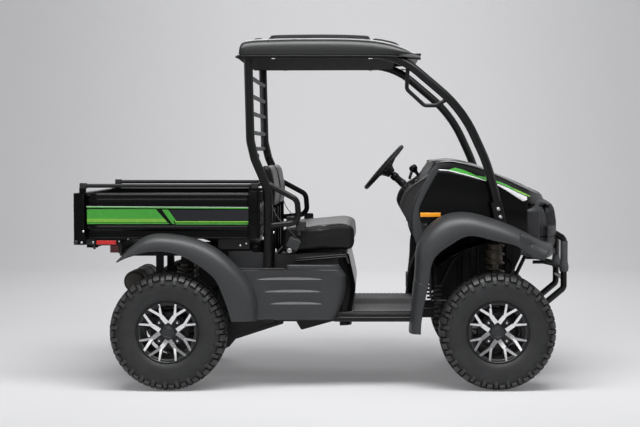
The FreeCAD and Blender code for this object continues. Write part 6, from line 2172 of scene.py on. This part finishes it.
make("front_well_liners", both_sides(well_liner()), liner_plastic, wall=0.002, facing=(1, 0, 0),
    crisp=60)
make("front_well_walls", both_sides(inner_wall()), liner_plastic, wall=0.002, crisp=60)
teeth = [soft_box((0.6, 0.5, z - 0.007), (0.634 + 0.01 * (index % 2), 0.512, z + 0.007), 0.002)
    for index, z in enumerate(np.linspace(0.395, 0.56, 8))]
make("liner_clips", both_sides(joined(teeth)), liner_plastic)
frame_tubes = [tube([(FRONT - 0.3, 0.42, 0.56), (FRONT - 0.23, 0.4, 0.7),
    (FRONT - 0.11, 0.36, 0.78), (FRONT + 0.05, 0.33, 0.8), (FRONT + 0.2, 0.28, 0.76)], 0.011,
    (0, 1, 0), 0.08, 12), tube([(FRONT - 0.085, 0.34, 0.5), (FRONT - 0.085, 0.34, 0.8)], 0.0095,
    (0, 1, 0), 0.03, 12), tube([(FRONT + 0.11, 0.3, 0.56), (FRONT + 0.21, 0.27, 0.76)], 0.011,
    (0, 1, 0), 0.03, 12)]
make("front_inner_tubes", both_sides(joined(frame_tubes)), frame_black, crisp=60)

# %% [markdown]
# ## Engine and drive
# Under the seat and bed sit the engine, its belt drive and the air box. The cylinder
# is finned, because an engine sheds its heat through its surface. The belt drive's
# cover is two round bulges joined by a waist.

# %% Engine
low_x, high_x = low("engine_block", "x"), high("engine_block", "x")
side_y, low_z, high_z = high("engine_block", "y"), low("engine_block", "z"), high("engine_block",
    "z")


def belt_cover():
    """Over (turn, share): the outline is the smooth union of two circles, found as the
    larger reach of the two in every direction; the face crowns with the share."""
    turn = np.linspace(0, 2 * np.pi, 121)[:-1]
    share = np.linspace(1, 0, 18)
    reach = 0.135 + 0.055 * np.abs(np.cos(turn)) ** 3
    flat_x = (low_x + high_x) / 2 + reach * np.cos(turn) * share[:, None]
    flat_z = low_z + 0.15 + 0.115 * np.sin(turn) * share[:, None]
    ribbed = (share[:, None] > 0.3) & (share[:, None] < 0.85)
    ribs = 0.003 * np.maximum(np.cos(turn * 12), 0)[None] * ribbed
    depth = 0.055 * (1 - share[:, None] ** 6) ** 0.5 + ribs
    base = columns(flat_x[:1], np.full((1, 120), side_y - 0.004), flat_z[:1])
    top = columns(flat_x, side_y + 0.002 + np.broadcast_to(depth, flat_x.shape), flat_z)
    return grid(np.concatenate([base, top]), wrap_v=True)


make("belt_cover", other_side(belt_cover()), dark_plastic)
fins = []
for index in range(9):
    z = low_z + 0.19 + index * 0.016
    fins.append(soft_box((low_x - 0.03, -0.085, z - 0.002), (low_x + 0.12, 0.085, z + 0.002), 0.002,
        2))
fins.append(rod((low_x + 0.045, 0, low_z + 0.17), (low_x + 0.045, 0, low_z + 0.33), 0.06, 32))
head = soft_box((low_x - 0.022, -0.078, low_z + 0.326), (low_x + 0.112, 0.078, low_z + 0.372),
    0.014)
make("cylinder_fins", joined(fins + [head]), cast_alloy)
case = [soft_box((low_x - 0.012, -side_y + 0.03, low_z + 0.01),
    (high_x - 0.02, side_y + 0.008, low_z + 0.13), 0.02)]
case += [rod((low_x + 0.14, side_y, low_z + 0.11), (low_x + 0.14, side_y + 0.06, low_z + 0.11),
    0.038, 28, edge=0.006), rod((low_x + 0.02, 0.06, low_z + 0.06),
    (low_x - 0.055, 0.06, low_z + 0.06), 0.034, 28, edge=0.005)]
case += [placed(hexagon_bolt(0.012, 0.007), (low_x - 0.011, y, low_z + z), (-1, 0, 0))
    for y in (-0.15, -0.05, 0.05, 0.15) for z in (0.03, 0.115)]
make("crankcase", joined(case), cast_alloy)
air_box = [soft_box((low_x + 0.09, -0.18, high_z - 0.004), (high_x - 0.08, 0.14, high_z + 0.06),
    0.018)]
snorkel = sweep(evenly(smooth_curve([(low_x + 0.2, 0.12, high_z + 0.03),
    (low_x + 0.2, 0.22, high_z + 0.02), (low_x + 0.19, 0.3, high_z - 0.03),
    (low_x + 0.15, 0.35, high_z - 0.1)], 120), 50), circle(0.026, 18), (1, 0, 0),
    size=1 + 0.05 * np.cos(np.linspace(0, 60, 50)))
make("air_box", joined(air_box + [snorkel]), liner_plastic)

# %% [markdown]
# ## Muffler and tail
# The muffler is a rolled drum with folded end seams, strapped to the frame, and a short
# tail pipe leaves it at the back. The tail lamps sit in black housings.

# %% Muffler and tail
drum_x, drum_z, drum_r = REAR - 0.24, middle("muffler", "z"), 0.06
details = []
for y in (-0.25, -0.13, 0.13, 0.25):
    wide = 0.006 if abs(y) > 0.2 else 0.012
    details.append(revolve(np.array([(-wide, drum_r - 0.002), (-wide, drum_r + 0.003),
        (wide, drum_r + 0.003), (wide, drum_r - 0.002)]), (drum_x, y, drum_z), (0, 1, 0), 48))
ends = revolve(np.array([(0, drum_r - 0.001), (0.006, drum_r - 0.006), (0.01, drum_r - 0.02),
    (0.011, 0.01), (0.011, 0)]), (drum_x, 0.25, drum_z), (0, 1, 0), 48)
details += [ends, other_side(ends)]
details.append(tube([(drum_x, -0.18, drum_z - 0.04), (drum_x - 0.012, -0.18, drum_z - 0.085),
    (drum_x - 0.05, -0.18, drum_z - 0.12)], 0.019, (0, 1, 0), 0.04, 20))
make("muffler_bands", joined(details), hot_pipe, crisp=50)
lamp_low, lamp_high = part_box("tail_lamps")
housing = soft_box((lamp_high[0] - 0.004, 0.424, lamp_low[2] - 0.005),
    (lamp_high[0] + 0.016, lamp_high[1] + 0.003, lamp_high[2] + 0.008), 0.004)
ribs = [soft_box((lamp_low[0] - 0.0025, 0.434, z - 0.0012),
    (lamp_low[0] + 0.001, 0.486, z + 0.0012), 0.001, 2) for z in np.linspace(lamp_low[2] + 0.006,
    lamp_high[2] - 0.006, 7)]
make("tail_lamp_housings", both_sides(housing), dark_plastic)
make("tail_lamp_ribs", both_sides(joined(ribs)), red_lens)
skid = sweep(rounded([(REAR - 0.3, 0.0, 0.33), (REAR - 0.2, 0.0, 0.262), (REAR - 0.02, 0.0, 0.25)],
    0.05), oblong(0.16, 0.006, 0.0028, 3), (0, 1, 0))
make("axle_guard", skid, frame_black)
print("muffler at", round(drum_x, 3), round(drum_z, 3), "tail lamps", np.round(lamp_low, 3),
    np.round(lamp_high, 3))

# %% [markdown]
# ## Rear links
# A pressed link holds the axle on each side: a wedge of plate with a rib along it. Its
# outline could be a formula, but such a part is cut to a drawn shape, so it is a list
# of corners given a thickness.

# %% Rear links
link_plate = plate([(-0.234, 0.372), (-0.4, 0.372), (-0.6, 0.335), (-0.66, 0.262), (-0.62, 0.204),
    (-0.546, 0.208), (-0.508, 0.253), (-0.3, 0.321), (-0.242, 0.339)], 0.4, 0.424)
rib = sweep(np.array([(-0.27, 0.427, 0.346), (-0.51, 0.427, 0.272)]),
    oblong(0.004, 0.009, 0.002, 2), (0, 1, 0))
link_plate = joined([link_plate, rib])
make("rear_links", both_sides(link_plate), frame_black, bevel=0.003)

# %% [markdown]
# ## Finishes of the frame's own pieces
# The tubes, beams and brackets of the frame already have their true shapes, so they
# stay as they are and only wear their finish. The record names a slot for each.

# %% Dress the frame
shown = [node for node in frame["nodes"].values() if not node.hide_render]
for node in shown:
    worn = NODE_FINISH.get(node.name) or SLOT_FINISH[slot_of_node[node.name]]
    if not node.data.materials:
        node.data.materials.append(worn)
    for slot_number in range(len(node.material_slots)):
        node.material_slots[slot_number].link = "OBJECT"
        node.material_slots[slot_number].material = worn
print("frame pieces shown:", sorted(node.name for node in shown))
